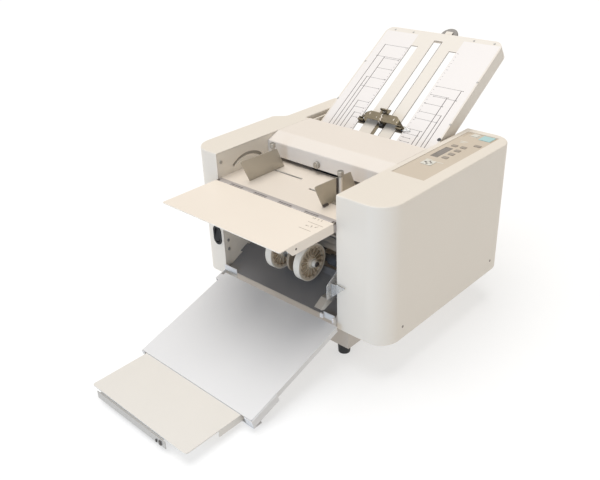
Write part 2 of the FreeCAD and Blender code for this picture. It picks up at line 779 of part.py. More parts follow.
def fold_roller(index):
    place = roller_places[index]
    drives = index == 1
    reach = frame_thick + 2 + (pulley_offset + pulley_width if drives else gear_offset + gear_width)
    solids = [stepped_roller(place, roller_r, reach), gear(place, not drives)]
    if drives:
        wheel = rod_x(pulley_x0, pulley_x1, place, pulley_r)
        solids.append(wheel.cut(rod_x(pulley_x0 - 1, pulley_x1 + 1, place, journal_r + running)))
    return group(*solids)


def feed_roller():
    tyres = [(mid_x - 26, 34), (mid_x + 26, 34)]
    return stepped_roller((feed_roller_y, feed_roller_z), feed_roller_r, frame_thick + 8, tyres)


def exit_roller_shaft():
    tyres = [(mid_x + share * inner_width, exit_tyre_width) for share in exit_tyres]
    return stepped_roller(exit_roller, exit_roller_r, frame_thick + 8, tyres)


def drive_motor():
    y, z = motor_place
    x0 = left_inner + 4
    can = rod_x(x0, x0 + motor_length, motor_place, motor_r)
    flange = box(left_inner, left_inner + 4, y - motor_r, y + motor_r, z - motor_r, z + motor_r)
    bore = rod_x(left_inner - 1, x0 + 20, motor_place, motor_shaft_r + running)
    cap = rod_x(x0 + motor_length, x0 + motor_length + 9, motor_place, 14)
    return fuse(can, flange, cap).cut(bore)


def motor_pulley():
    shaft = rod_x(pulley_x0 - 2, left_inner + 20, motor_place, motor_shaft_r)
    return fuse(shaft, rod_x(pulley_x0, pulley_x1, motor_place, motor_pulley_r))


def belt_loop(grow):
    """Face of the open belt's outline, grown from the two pulleys."""
    a, b = roller_places[1], motor_place
    ra, rb = pulley_r + grow, motor_pulley_r + grow
    span = V(b[0] - a[0], b[1] - a[1], 0)
    along = math.atan2(span.y, span.x)
    open_angle = math.acos((ra - rb) / span.Length)

    def touch(place, radius, turn):
        return V(place[0] + radius * math.cos(turn), place[1] + radius * math.sin(turn), 0)

    up, down = along + open_angle, along - open_angle
    edges = [Part.LineSegment(touch(a, ra, up), touch(b, rb, up)).toShape(),
             Part.Arc(touch(b, rb, up), touch(b, rb, along), touch(b, rb, down)).toShape(),
             Part.LineSegment(touch(b, rb, down), touch(a, ra, down)).toShape(),
             Part.Arc(touch(a, ra, down), touch(a, ra, along + math.pi), touch(a, ra, up)).toShape()]
    return Part.Face(Part.Wire(edges))


def drive_belt():
    loop = prism_yz(belt_loop(fit + belt_thick), pulley_x0 + 0.5, pulley_x1 - 0.5)
    return loop.cut(prism_yz(belt_loop(fit), pulley_x0, pulley_x1))


def separator_block():
    pad_top = feed_roller_z - feed_roller_r - 0.6
    pad = box(mid_x - 42, mid_x + 42, feed_roller_y - 14, feed_roller_y + 14, table_top - 20, pad_top)
    shelf = box(mid_x - 52, mid_x + 52, feed_roller_y - 22, feed_roller_y + 22,
                table_top - sheet - fit - 4, table_top - sheet - fit)
    return fuse(pad, shelf)


def paper_guides():
    x0, x1 = left_inner + fit, right_inner - fit
    nip = nip_z - centre_gap
    exit_y, exit_z = exit_roller
    lower = strip_yz((exit_y + 13, exit_z + 13.5), (roller_y - 22, nip - 3), 1.5, x0, x1)
    upper = strip_yz((exit_y + 17, exit_z + 26), (roller_y - 22, nip + 5), 1.5, x0, x1)
    mouth = strip_yz((roller_y + 22, nip_z + 12), (cover_pivot[0], nip_z + 20), 1.5, x0, x1)
    return group(lower, upper, mouth, guide_arm())


# ---------------------------------------------------------------- exit, stacker and ramp
def chute_z(y):
    return chute_front[1] + (y - chute_front[0]) * math.tan(math.radians(chute_slope))


def chute_plate():
    x0, x1 = left_inner + 7, right_inner - 7
    slope = strip_yz(chute_front, (chute_back, chute_z(chute_back)), 1.5, x0, x1)
    tabs = strip_yz((46.0, chute_z(46.0)), (68.0, chute_z(68.0)), 1.5, left_inner + fit, right_inner - fit)
    riser = strip_yz((chute_back - 0.8, chute_z(chute_back) - 0.4), chute_riser, 1.5, x0, x1)
    return fuse(slope, tabs, riser)


def stacker_wheel_x():
    return [stacker_mid - stacker_wheel_spread / 2, stacker_mid + stacker_wheel_spread / 2]


def stacker_arm():
    run = V(stacker_rod[0] - stacker_axle[0], stacker_rod[1] - stacker_axle[1], 0)
    angle = math.degrees(math.atan2(run.y, run.x))
    reach = run.Length
    flat = outline([(-11, -9, 8), (reach + 12, -11, 8), (reach + 12, 11, 8), (-11, 9, 8)])
    cheeks = []
    for x in (stacker_arm_x - stacker_arm_gap / 2, stacker_arm_x + stacker_arm_gap / 2 - 3):
        cheek = flat.extrude(V(0, 0, 3)).rotated(V(0, 0, 0), V(1, 1, 1), 120)
        cheeks.append(tilt(cheek, angle, stacker_axle).translated(V(x, 0, 0)))
    bridge = box(-stacker_arm_gap / 2, stacker_arm_gap / 2, 18, reach - 14, 4, 7)
    bridge = tilt(bridge, angle, stacker_axle).translated(V(stacker_arm_x, 0, 0))
    arm = fuse(bridge, *cheeks)
    arm = arm.cut(rod_x(left_outer, right_outer, stacker_rod, tie_bar_r + running))
    return arm.cut(rod_x(left_outer, right_outer, stacker_axle, stacker_axle_r + running))


def stacker_wheel(x):
    half = stacker_wheel_width / 2
    tyre = rod_x(x - half, x + half, stacker_axle, stacker_wheel_r)
    tyre = tyre.cut(rod_x(x - half, x + half, stacker_axle, stacker_wheel_r - 9))
    disc = rod_x(x - 2, x + 2, stacker_axle, stacker_wheel_r - 8)
    hub = rod_x(x - half, x + half + 4, stacker_axle, 11)
    ribs = []
    for i in range(16):
        rib = box(x - 5.5, x + 5.5, stacker_axle[0] + 10, stacker_axle[0] + stacker_wheel_r - 8,
                  stacker_axle[1] - 1.2, stacker_axle[1] + 1.2)
        ribs.append(rib.rotated(V(x, stacker_axle[0], stacker_axle[1]), V(1, 0, 0), 22.5 * i))
    wheel = fuse(tyre, disc, hub, *ribs)
    return wheel.cut(rod_x(left_outer, right_outer, stacker_axle, stacker_axle_r + running))


def stacker_wheels():
    left_x, right_x = stacker_wheel_x()
    axle = rod_x(left_x - 13, right_x + 20, stacker_axle, stacker_axle_r)
    end = rod_x(right_x + stacker_wheel_width / 2 + 4.6, right_x + 20, stacker_axle, 7)
    inner = rod_x(right_x - stacker_disc[1], right_x - stacker_disc[0], stacker_axle, stacker_wheel_r - 8)
    return group(stacker_wheel(left_x), stacker_wheel(right_x), fuse(axle, end, inner))


def ramp_tray():
    lip_y = (-ramp_length, -2.0)
    plate = prism_xy(outline([(ramp_left, -ramp_length, 3), (ramp_right, -ramp_length, 3), (ramp_right, 0),
                              (ramp_left, 0)]), -sheet, 0)
    for x0 in (ramp_left, ramp_right - 1.5):
        plate = plate.fuse(box(x0, x0 + 1.5, lip_y[0] + 4, lip_y[1], -ramp_lip, -1))
    turn = math.radians(ramp_slope)
    dy, dz = ramp_pivot[0] - ramp_edge[0], ramp_pivot[1] - ramp_edge[1]
    py = dy * math.cos(turn) + dz * math.sin(turn)
    pz = -dy * math.sin(turn) + dz * math.cos(turn)
    for ear_x, tab_x in ((left_inner + 2.2, ramp_left + 6), (right_inner - 3.9, right_inner - 30)):
        ear = slab_yz([(-22, pz - 7), (py + 8, pz - 8, 7), (py + 8, pz + 8, 7), (py - 8, pz + 8, 4),
                       (py - 14, -sheet), (-22, -sheet)], ear_x, ear_x + 1.7)
        x0, x1 = min(ear_x, tab_x), max(ear_x + 1.7, tab_x)
        plate = plate.fuse(ear).fuse(box(x0, x1, -22, -6, -sheet - 1.6, -sheet))
    plate = plate.cut(rod_x(left_outer, right_outer, (py, pz), pin_r + running))
    plate = tilt(plate, ramp_slope, ramp_edge)
    y, z = ramp_bar
    left_bar, right_bar = left_inner + 2.2, right_inner - 2.2
    for x0, x1 in ((left_bar, left_bar + ramp_bar_reach[1]), (right_bar - ramp_bar_reach[0], right_bar)):
        plate = plate.fuse(box(x0, x1, y, y + 1.6, z, z + ramp_bar_height))
    return plate.removeSplitter()


def ramp_bracket():
    shapes = []
    for x0 in (ramp_left - fit - 1.7, ramp_right + fit):
        cheek = slab_yz([(-ramp_length - 2, -bracket_depth), (-ramp_length + bracket_length, -bracket_depth),
                         (-ramp_length + bracket_length, -1), (-ramp_length - 2, -1)], x0, x0 + 1.7)
        shapes.append(tilt(cheek, ramp_slope, ramp_edge))
    y, z = on_slope(ramp_slope, ramp_edge, -ramp_length, -bracket_depth)
    x0, x1 = ramp_left - fit - 1.7, ramp_right + fit + 1.7
    strap = box(x0, x1, y - 3, y + 18, z - 2, z)
    hooks = [tilt(box(a, b, -ramp_length - 2, -ramp_length - 0.5, -bracket_depth, -1), ramp_slope, ramp_edge)
             for a, b in ((x0, ramp_left + 8), (extension_right + 10, x1))]
    return fuse(strap, *shapes, *hooks)


arm_frame_gap = 12.5
arm_width = 17.0
arm_right = right_inner - arm_frame_gap
arm_left = arm_right - arm_width
arm_tip = (-34.0, 145.0)     # front end of the guide arm's face
arm_bend = (-12.5, 158.5)
arm_back = 50.0
arm_sheet = 1.5
clear_reach = 4.5            # clear guide in front of the arm's bend
clear_length = 47.0
clear_front_height = 31.5
clear_rear_height = 55.5
clear_wing = 36.0


def guide_arm():
    """Bent channel from the right frame that carries the clear side guide over the ramp."""
    top = arm_bend[1]
    face = strip_yz(arm_tip, arm_bend, arm_sheet, arm_left, arm_right)
    level = strip_yz((arm_bend[0] - 1, top), (arm_back, top), arm_sheet, arm_left, arm_right)
    side = slab_yz([(arm_tip[0], arm_tip[1] - arm_sheet), (arm_bend[0], top - arm_sheet),
                    (arm_back, top - arm_sheet), (arm_back, top - 9), (7.5, top - 9), (-24.0, 139.5)],
                   arm_right - arm_sheet, arm_right)
    tab = box(arm_right - 1, right_inner, arm_back - 16, arm_back, top - arm_sheet, top)
    leaf = box(right_inner - arm_sheet, right_inner, arm_back - 16, arm_back, top - 9, top + 13)
    return fuse(face, level, side, tab, leaf)


def clear_guide():
    x0, x1 = arm_right, arm_right + 2
    front, base = arm_bend[0] - clear_reach, arm_bend[1]
    wing_y = front + clear_reach + 7.5
    fin = slab_yz([(front, base + 1.5), (front, base + clear_front_height),
                   (front + 31, base + clear_rear_height - 4.5),
                   (front + clear_length, base + clear_rear_height), (front + clear_length, base - 8),
                   (wing_y, base - 8)], x0, x1)
    wing = prism_xz(outline([(x0, base - 2), (x0, base + clear_front_height),
                             (x0 + clear_wing / 2, base + clear_front_height + 3),
                             (x0 + clear_wing, base + clear_front_height + 1.5)]), wing_y, wing_y + 2)
    return fuse(fin, wing)


def extension_tray():
    low = extension_top - sheet
    back = on_slope(ramp_slope, ramp_edge, -ramp_length, 0)[0] + extension_tuck
    plate = prism_xy(outline([(extension_left, extension_front, 6), (extension_right, extension_front, 6),
                              (extension_right, back), (extension_left, back)]), low, extension_top)
    flange_bottom = on_slope(ramp_slope, ramp_edge, -ramp_length, -bracket_depth)[1] + fit
    for x0 in (extension_left, extension_right - 1.5):
        plate = plate.fuse(box(x0, x0 + 1.5, extension_front + 76, back, flange_bottom, low + 1))
    lip_top = low - stopper_sheet - 2 * fit
    lip_low = lip_top - stopper_sheet
    for wall_x, lip_x in ((stopper_left + 8, stopper_left + 16), (stopper_right - 8, stopper_right - 16)):
        outside = wall_x + math.copysign(stopper_sheet, wall_x - lip_x)
        x0, x1 = sorted((wall_x, outside))
        plate = plate.fuse(box(x0, x1, extension_front + 4, extension_front + 70, lip_low, low + 1))
        x0, x1 = sorted((outside, lip_x))
        plate = plate.fuse(box(x0, x1, extension_front + 4, extension_front + 70, lip_low, lip_top))
    return plate.removeSplitter()


def stopper_bar():
    high = extension_top - sheet - fit
    face_y = extension_front - 2.6
    lip = box(stopper_left, stopper_right, face_y - stopper_sheet, face_y, high - stopper_height, high)
    tongue = box(stopper_left + 8 + fit, stopper_right - 8 - fit, face_y - 0.5, face_y + stopper_tongue,
                 high - stopper_sheet, high)
    return fuse(lip, tongue)


# ---------------------------------------------------------------- fold plates
skew_knob_place = (mid_x + skew_knob_aside, -skew_knob_drop)
plate_left = mid_x - plate_width / 2
plate_right = mid_x + plate_width / 2


def slots(low, high, grow):
    tops = ((-slot_spread, slot_side_width, slot_side_top), (0, slot_mid_width, slot_mid_top),
            (slot_spread, slot_side_width, slot_side_top))
    return [box(mid_x + dx - width / 2 - grow, mid_x + dx + width / 2 + grow, -slot_end - grow,
                -top + grow, low, high) for dx, width, top in tops]


def fold_plate_1_top():
    face = outline([(plate_left, -plate_length), (plate_right, -plate_length),
                    (plate_right, 0, plate_corner_r), (plate_left, 0, plate_corner_r)])
    pan = prism_xy(face, -plate_depth, 0)
    hollow = prism_xy(face.makeOffset2D(-plate_sheet), -plate_depth - 1, -plate_sheet)
    pan = pan.cut(hollow)
    pan = pan.cut(box(plate_left - 1, plate_right + 1, -plate_length - 1, -plate_flange_length,
                      -plate_depth - 1, -plate_sheet))
    for slot in slots(-plate_sheet - 1, 1, 0):
        pan = pan.cut(slot)
    reach = math.sqrt(skew_knob_r ** 2 - skew_knob_place[1] ** 2) + 2
    window = box(skew_knob_place[0] - reach, skew_knob_place[0] + reach, -plate_sheet - 1, 1, -16.4,
                 -plate_sheet - plate_gap + fit)
    return tilt(pan.cut(window), plate_slope, plate_place)


def fold_plate_1_bottom():
    high = -plate_sheet - plate_gap
    edge = plate_sheet + fit
    face = outline([(plate_left + edge, -plate_length), (plate_right - edge, -plate_length),
                    (plate_right - edge, -edge, plate_corner_r - edge),
                    (plate_left + edge, -edge, plate_corner_r - edge)])
    plate = prism_xy(face, high - plate_sheet, high)
    for slot in slots(high - plate_sheet - 1, high + 1, slot_relief):
        plate = plate.cut(slot)
    knob_x, knob_y = skew_knob_place
    tongue = box(knob_x - skew_tongue / 2, knob_x + skew_tongue / 2, -edge - 1, knob_y + skew_tongue / 2,
                 high - plate_sheet, high)
    pin = rod_z(-16, high - 0.5, knob_x, knob_y, 3).fuse(rod_z(-16, -14.4, knob_x, knob_y, 4.4))
    return tilt(plate.fuse([tongue, pin]).removeSplitter(), plate_slope, plate_place)


def skew_knob():
    knob_x, knob_y = skew_knob_place
    disc = rod_z(-13, -6.5, knob_x, knob_y, skew_knob_r)
    hub = rod_z(-14, -5.6, knob_x, knob_y, 7)
    knob = fuse(disc, hub).cut(rod_z(-20, 0, knob_x, knob_y, 3 + running))
    return tilt(knob, plate_slope, plate_place)


def fold_stop_1():
    front, back = -stop_place, -stop_place + stop_depth
    half = stop_span / 2
    shoulder = half - stop_shoulder
    arch = prism_xz(outline([(mid_x - half, 2.0), (mid_x - shoulder, stop_rise, 8),
                             (mid_x + shoulder, stop_rise, 8), (mid_x + half, 2.0),
                             (mid_x + half - 2.2, 2.0), (mid_x + shoulder - 1, stop_rise - 1.5, 7),
                             (mid_x - shoulder + 1, stop_rise - 1.5, 7), (mid_x - half + 2.2, 2.0)]),
                    front, back)
    plan = outline([(mid_x - half, front), (mid_x + half, front), (mid_x + half, front + 4),
                    (mid_x + half - stop_taper, back, 4), (mid_x - half + stop_taper, back, 4),
                    (mid_x - half, front + 4)])
    arch = arch.common(prism_xy(plan, 0, stop_rise + 1))
    tongue = box(mid_x - 12, mid_x + 12, back - 1, -stop_place + stop_screw_back + 9,
                 stop_rise - 1.5, stop_rise)
    legs = [box(mid_x + dx - 5, mid_x + dx + 5, front, front + 1.5, -plate_sheet - plate_gap - 6,
                stop_rise - 1) for dx in (-slot_spread, 0, slot_spread)]
    low = -plate_sheet * 2 - plate_gap - fit
    clamp = box(mid_x - slot_spread - 5, mid_x + slot_spread + 5, front, front + 14, low - 1.5, low)
    rail = box(mid_x - 9, mid_x - 1, -slot_end + 3, front + 1, 0.6, 2.0)
    stop = fuse(arch, tongue, clamp, rail, *legs)
    stop = stop.cut(rod_z(0, 40, mid_x, -stop_place + stop_screw_back, 2.5 + running))
    return tilt(stop, plate_slope, plate_place)


def stop_feet_1():
    front = -stop_place
    blocks = []
    for dx, toe_half, reach in ((-slot_spread, 6, 4), (6.4, 3, 9), (slot_spread, 6, 4)):
        block = box(mid_x + dx - 7, mid_x + dx + 7, front - reach, front, 0.6, 8.5)
        toe = box(mid_x + dx - toe_half, mid_x + dx + toe_half, front - 4, front,
                  -plate_sheet - plate_gap + 0.4, 1.0)
        blocks.append(tilt(fuse(block, toe), plate_slope, plate_place))
    return group(*blocks)


def stop_screw_1():
    x, y = mid_x, -stop_place + stop_screw_back
    head = rod_z(stop_rise + 2, stop_rise + 10, x, y, stop_screw_r)
    collar = rod_z(stop_rise + fit, stop_rise + 3, x, y, 4.5)
    stem = rod_z(1.2, stop_rise + 4, x, y, 2.5)
    foot = rod_z(1.2, 2.6, x, y, 5)
    return tilt(fuse(head, collar, stem, foot), plate_slope, plate_place)


def fold_plate_2():
    gap = plate_gap
    left, right = plate_left, plate_right
    shell = box(left, right, 0, plate_2_length, -plate_2_depth, 0)
    shell = shell.cut(box(left + plate_sheet, right - plate_sheet, -1, plate_2_length - plate_sheet,
                          -plate_2_depth - 1, -plate_sheet))
    low = -plate_sheet - gap
    shell = shell.fuse(box(left + plate_sheet / 2, right - plate_sheet / 2,
                           0, plate_2_length - plate_sheet / 2, low - plate_sheet, low))
    shell = shell.cut(box(mid_x - slot_mid_width / 2, mid_x + slot_mid_width / 2, plate_2_slot_margin,
                          plate_2_length - plate_2_slot_margin, low - plate_sheet - 1, 1))
    return tilt(shell.removeSplitter(), plate_2_slope, plate_2_mouth)


def fold_stop_2():
    s = stop_2_place
    low = -2 * plate_sheet - plate_gap
    finger = box(mid_x - 7, mid_x + 7, s, s + 3, low - 4, 6)
    top = box(mid_x - 18, mid_x + 18, s, s + 22, fit, 3)
    clamp = box(mid_x - 18, mid_x + 18, s, s + 22, low - 4, low - fit)
    grip = rod_z(2, 10, mid_x, s + 11, 7)
    return tilt(fuse(finger, top, clamp, grip), plate_2_slope, plate_2_mouth)


# ---------------------------------------------------------------- all pieces
pieces["base_tray"] = base_tray()
pieces["feet"] = feet()
pieces["left_frame"] = left_frame()
pieces["right_frame"] = right_frame()
pieces["tie_bars"] = tie_bars()
pieces["frame_pins"] = frame_pins()
pieces["bearing_bushes"] = bearing_bushes()
pieces["right_case"] = right_case()
pieces["left_case"] = left_case()
pieces["control_panel"] = control_panel()
pieces["display_window"] = display_window()
pieces["key_board"] = key_board()
for key_name, key_x, key_y, key_width, key_depth in key_list():
    pieces[key_name] = key(key_x, key_y, key_width, key_depth)
pieces["switch_bezel"] = switch_bezel()
pieces["power_rocker"] = power_rocker()
pieces["power_inlet"] = power_inlet()
pieces["feed_table"] = feed_table()
pieces["front_flap"] = front_flap()
pieces["flap_hinge_pin"] = flap_hinge_pin()
pieces["left_guide"] = side_guide_plate(-1)
pieces["right_guide"] = side_guide_plate(1)
pieces["left_guide_knob"] = guide_knob(left_stud)
pieces["right_guide_knob"] = guide_knob(right_stud)
pieces["top_cover"] = top_cover()
pieces["cover_knob"] = cover_knob()
pieces["feed_roller"] = feed_roller()
pieces["separator_block"] = separator_block()
for number in range(4):
    pieces["fold_roller_%d" % (number + 1)] = fold_roller(number)
pieces["exit_roller"] = exit_roller_shaft()
pieces["drive_motor"] = drive_motor()
pieces["motor_pulley"] = motor_pulley()
pieces["drive_belt"] = drive_belt()
pieces["paper_guides"] = paper_guides()
pieces["chute_plate"] = chute_plate()
pieces["stacker_arm"] = stacker_arm()
pieces["stacker_wheels"] = stacker_wheels()
pieces["ramp_tray"] = ramp_tray()
pieces["ramp_bracket"] = ramp_bracket()
pieces["clear_guide"] = clear_guide()
pieces["extension_tray"] = extension_tray()
pieces["stopper_bar"] = stopper_bar()
pieces["fold_plate_1_top"] = fold_plate_1_top()
pieces["fold_plate_1_bottom"] = fold_plate_1_bottom()
pieces["fold_stop_1"] = fold_stop_1()
pieces["stop_feet_1"] = stop_feet_1()
pieces["stop_screw_1"] = stop_screw_1()
pieces["skew_knob"] = skew_knob()
pieces["fold_plate_2"] = fold_plate_2()
pieces["fold_stop_2"] = fold_stop_2()

# The origin goes to the middle of the whole box, on the floor.
whole = FreeCAD.BoundBox()
for piece in pieces.values():
    whole.add(piece.optimalBoundingBox(False, False))
origin = V((whole.XMin + whole.XMax) / 2, (whole.YMin + whole.YMax) / 2, whole.ZMin)

os.makedirs("parts", exist_ok=True)
for name, piece in pieces.items():
    piece.translated(-origin).exportStep("parts/%s.step" % name)
print("pieces", len(pieces))
print("size", [round(v, 1) for v in (whole.XLength, whole.YLength, whole.ZLength)])
print("origin in the building frame", [round(v, 3) for v in (origin.x, origin.y, origin.z)])
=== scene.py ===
import math

import bmesh
import bpy
from mathutils import Matrix, Vector


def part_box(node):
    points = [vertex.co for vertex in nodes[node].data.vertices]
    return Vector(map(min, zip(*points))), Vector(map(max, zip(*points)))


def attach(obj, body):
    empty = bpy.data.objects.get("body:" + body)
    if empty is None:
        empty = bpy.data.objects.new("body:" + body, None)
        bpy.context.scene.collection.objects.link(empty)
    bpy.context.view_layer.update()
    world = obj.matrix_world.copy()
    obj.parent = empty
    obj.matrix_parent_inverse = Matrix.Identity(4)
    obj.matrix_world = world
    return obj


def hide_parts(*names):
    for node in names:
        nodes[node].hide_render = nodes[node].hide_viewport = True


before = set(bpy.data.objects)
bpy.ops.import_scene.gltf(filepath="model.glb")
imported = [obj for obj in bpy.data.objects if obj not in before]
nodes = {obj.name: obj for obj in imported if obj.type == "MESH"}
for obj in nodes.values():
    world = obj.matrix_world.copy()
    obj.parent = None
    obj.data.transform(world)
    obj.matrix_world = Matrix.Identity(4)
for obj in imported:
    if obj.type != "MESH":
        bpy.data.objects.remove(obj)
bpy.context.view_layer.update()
print("frame:", len(nodes), "nodes")

mm = 0.001
frontShift = -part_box("right_case")[0].y / mm  # case fronts to the middle of the whole


def place(x, y, z):
    return Vector((x * mm, (y - frontShift) * mm, z * mm))


# how far a node reaches along x, y and z, in mm and with y from the case fronts
def span(node):
    low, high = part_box(node)
    return ((low.x / mm, high.x / mm), (low.y / mm + frontShift, high.y / mm + frontShift),
            (low.z / mm, high.z / mm))


def middle(pair):
    return (pair[0] + pair[1]) / 2


# materials
def newMaterial(name):
    mat = bpy.data.materials.new(name)
    mat.use_nodes = True
    tree = mat.node_tree
    shader = next(n for n in tree.nodes if n.type == "BSDF_PRINCIPLED")
    coords = tree.nodes.new("ShaderNodeTexCoord")
    return mat, tree, shader, coords.outputs["Object"]


def noiseAt(tree, coords, scale, detail=2.0, stretch=(1, 1, 1)):
    mapping = tree.nodes.new("ShaderNodeMapping")
    mapping.inputs["Scale"].default_value = stretch
    noise = tree.nodes.new("ShaderNodeTexNoise")
    noise.inputs["Scale"].default_value = scale
    noise.inputs["Detail"].default_value = detail
    tree.links.new(coords, mapping.inputs["Vector"])
    tree.links.new(mapping.outputs["Vector"], noise.inputs["Vector"])
    return noise.outputs["Fac"]


def ranged(tree, value, low, high, start=0.0, end=1.0):
    node = tree.nodes.new("ShaderNodeMapRange")
    node.inputs["From Min"].default_value = start
    node.inputs["From Max"].default_value = end
    node.inputs["To Min"].default_value = low
    node.inputs["To Max"].default_value = high
    tree.links.new(value, node.inputs["Value"])
    return node.outputs["Result"]


def mixed(tree, factor, first, second, blend="MIX"):
    node = tree.nodes.new("ShaderNodeMix")
    node.data_type = "RGBA"
    node.blend_type = blend
    share, colourA, colourB = node.inputs[0], node.inputs[6], node.inputs[7]
    for socket, value in ((colourA, first), (colourB, second)):
        if isinstance(value, tuple):
            socket.default_value = (*value, 1.0)
        else:
            tree.links.new(value, socket)
    if isinstance(factor, float):
        share.default_value = factor
    else:
        tree.links.new(factor, share)
    return node.outputs[2]  # the colour result


def within(tree, value, centre, reach):
    node = tree.nodes.new("ShaderNodeMath")
    node.operation = "COMPARE"
    node.inputs[1].default_value = centre
    node.inputs[2].default_value = reach
    tree.links.new(value, node.inputs[0])
    return node.outputs[0]


def mathNode(tree, operation, first, second=None):
    node = tree.nodes.new("ShaderNodeMath")
    node.operation = operation
    tree.links.new(first, node.inputs[0])
    if isinstance(second, float):
        node.inputs[1].default_value = second
    elif second is not None:
        tree.links.new(second, node.inputs[1])
    return node.outputs[0]


def vectorNode(tree, operation, value, fixed=None):
    node = tree.nodes.new("ShaderNodeVectorMath")
    node.operation = operation
    if fixed is not None:
        node.inputs[1].default_value = fixed
    tree.links.new(value, node.inputs[0])
    return node.outputs["Value" if operation == "LENGTH" else "Vector"]


def axisOf(tree, coords, axis):
    split = tree.nodes.new("ShaderNodeSeparateXYZ")
    tree.links.new(coords, split.inputs["Vector"])
    return split.outputs[axis]


def bumped(tree, shader, height, strength, distance=0.0004):
    bump = tree.nodes.new("ShaderNodeBump")
    bump.inputs["Strength"].default_value = strength
    bump.inputs["Distance"].default_value = distance
    tree.links.new(height, bump.inputs["Height"])
    tree.links.new(bump.outputs["Normal"], shader.inputs["Normal"])


def tinted(colour, share):
    return tuple(min(1.0, c * share) for c in colour)


coating = {"broadGrain": 9.0, "broadDetail": 3.0, "roughSwing": 0.06}  # the same for every paint


def surface(name, colour, rough, metal=0.0, grain=700.0, relief=0.12, mottle=0.04,
            stretch=(1, 1, 1), coat=0.0):
    mat, tree, shader, coords = newMaterial(name)
    broad = noiseAt(tree, coords, coating["broadGrain"], coating["broadDetail"])
    fine = noiseAt(tree, coords, grain, stretch=stretch)
    shade = mixed(tree, broad, tinted(colour, 1 - mottle), tinted(colour, 1 + mottle))
    tree.links.new(shade, shader.inputs["Base Color"])
    swing = coating["roughSwing"]
    tree.links.new(ranged(tree, fine, rough - swing, rough + swing), shader.inputs["Roughness"])
    shader.inputs["Metallic"].default_value = metal
    shader.inputs["Coat Weight"].default_value = coat
    bumped(tree, shader, fine, relief)
    return mat


def brushed(name, colour, rough, stretch, metal=1.0):
    return surface(name, colour, rough, metal, grain=900.0, relief=0.10, mottle=0.05,
                   stretch=stretch)


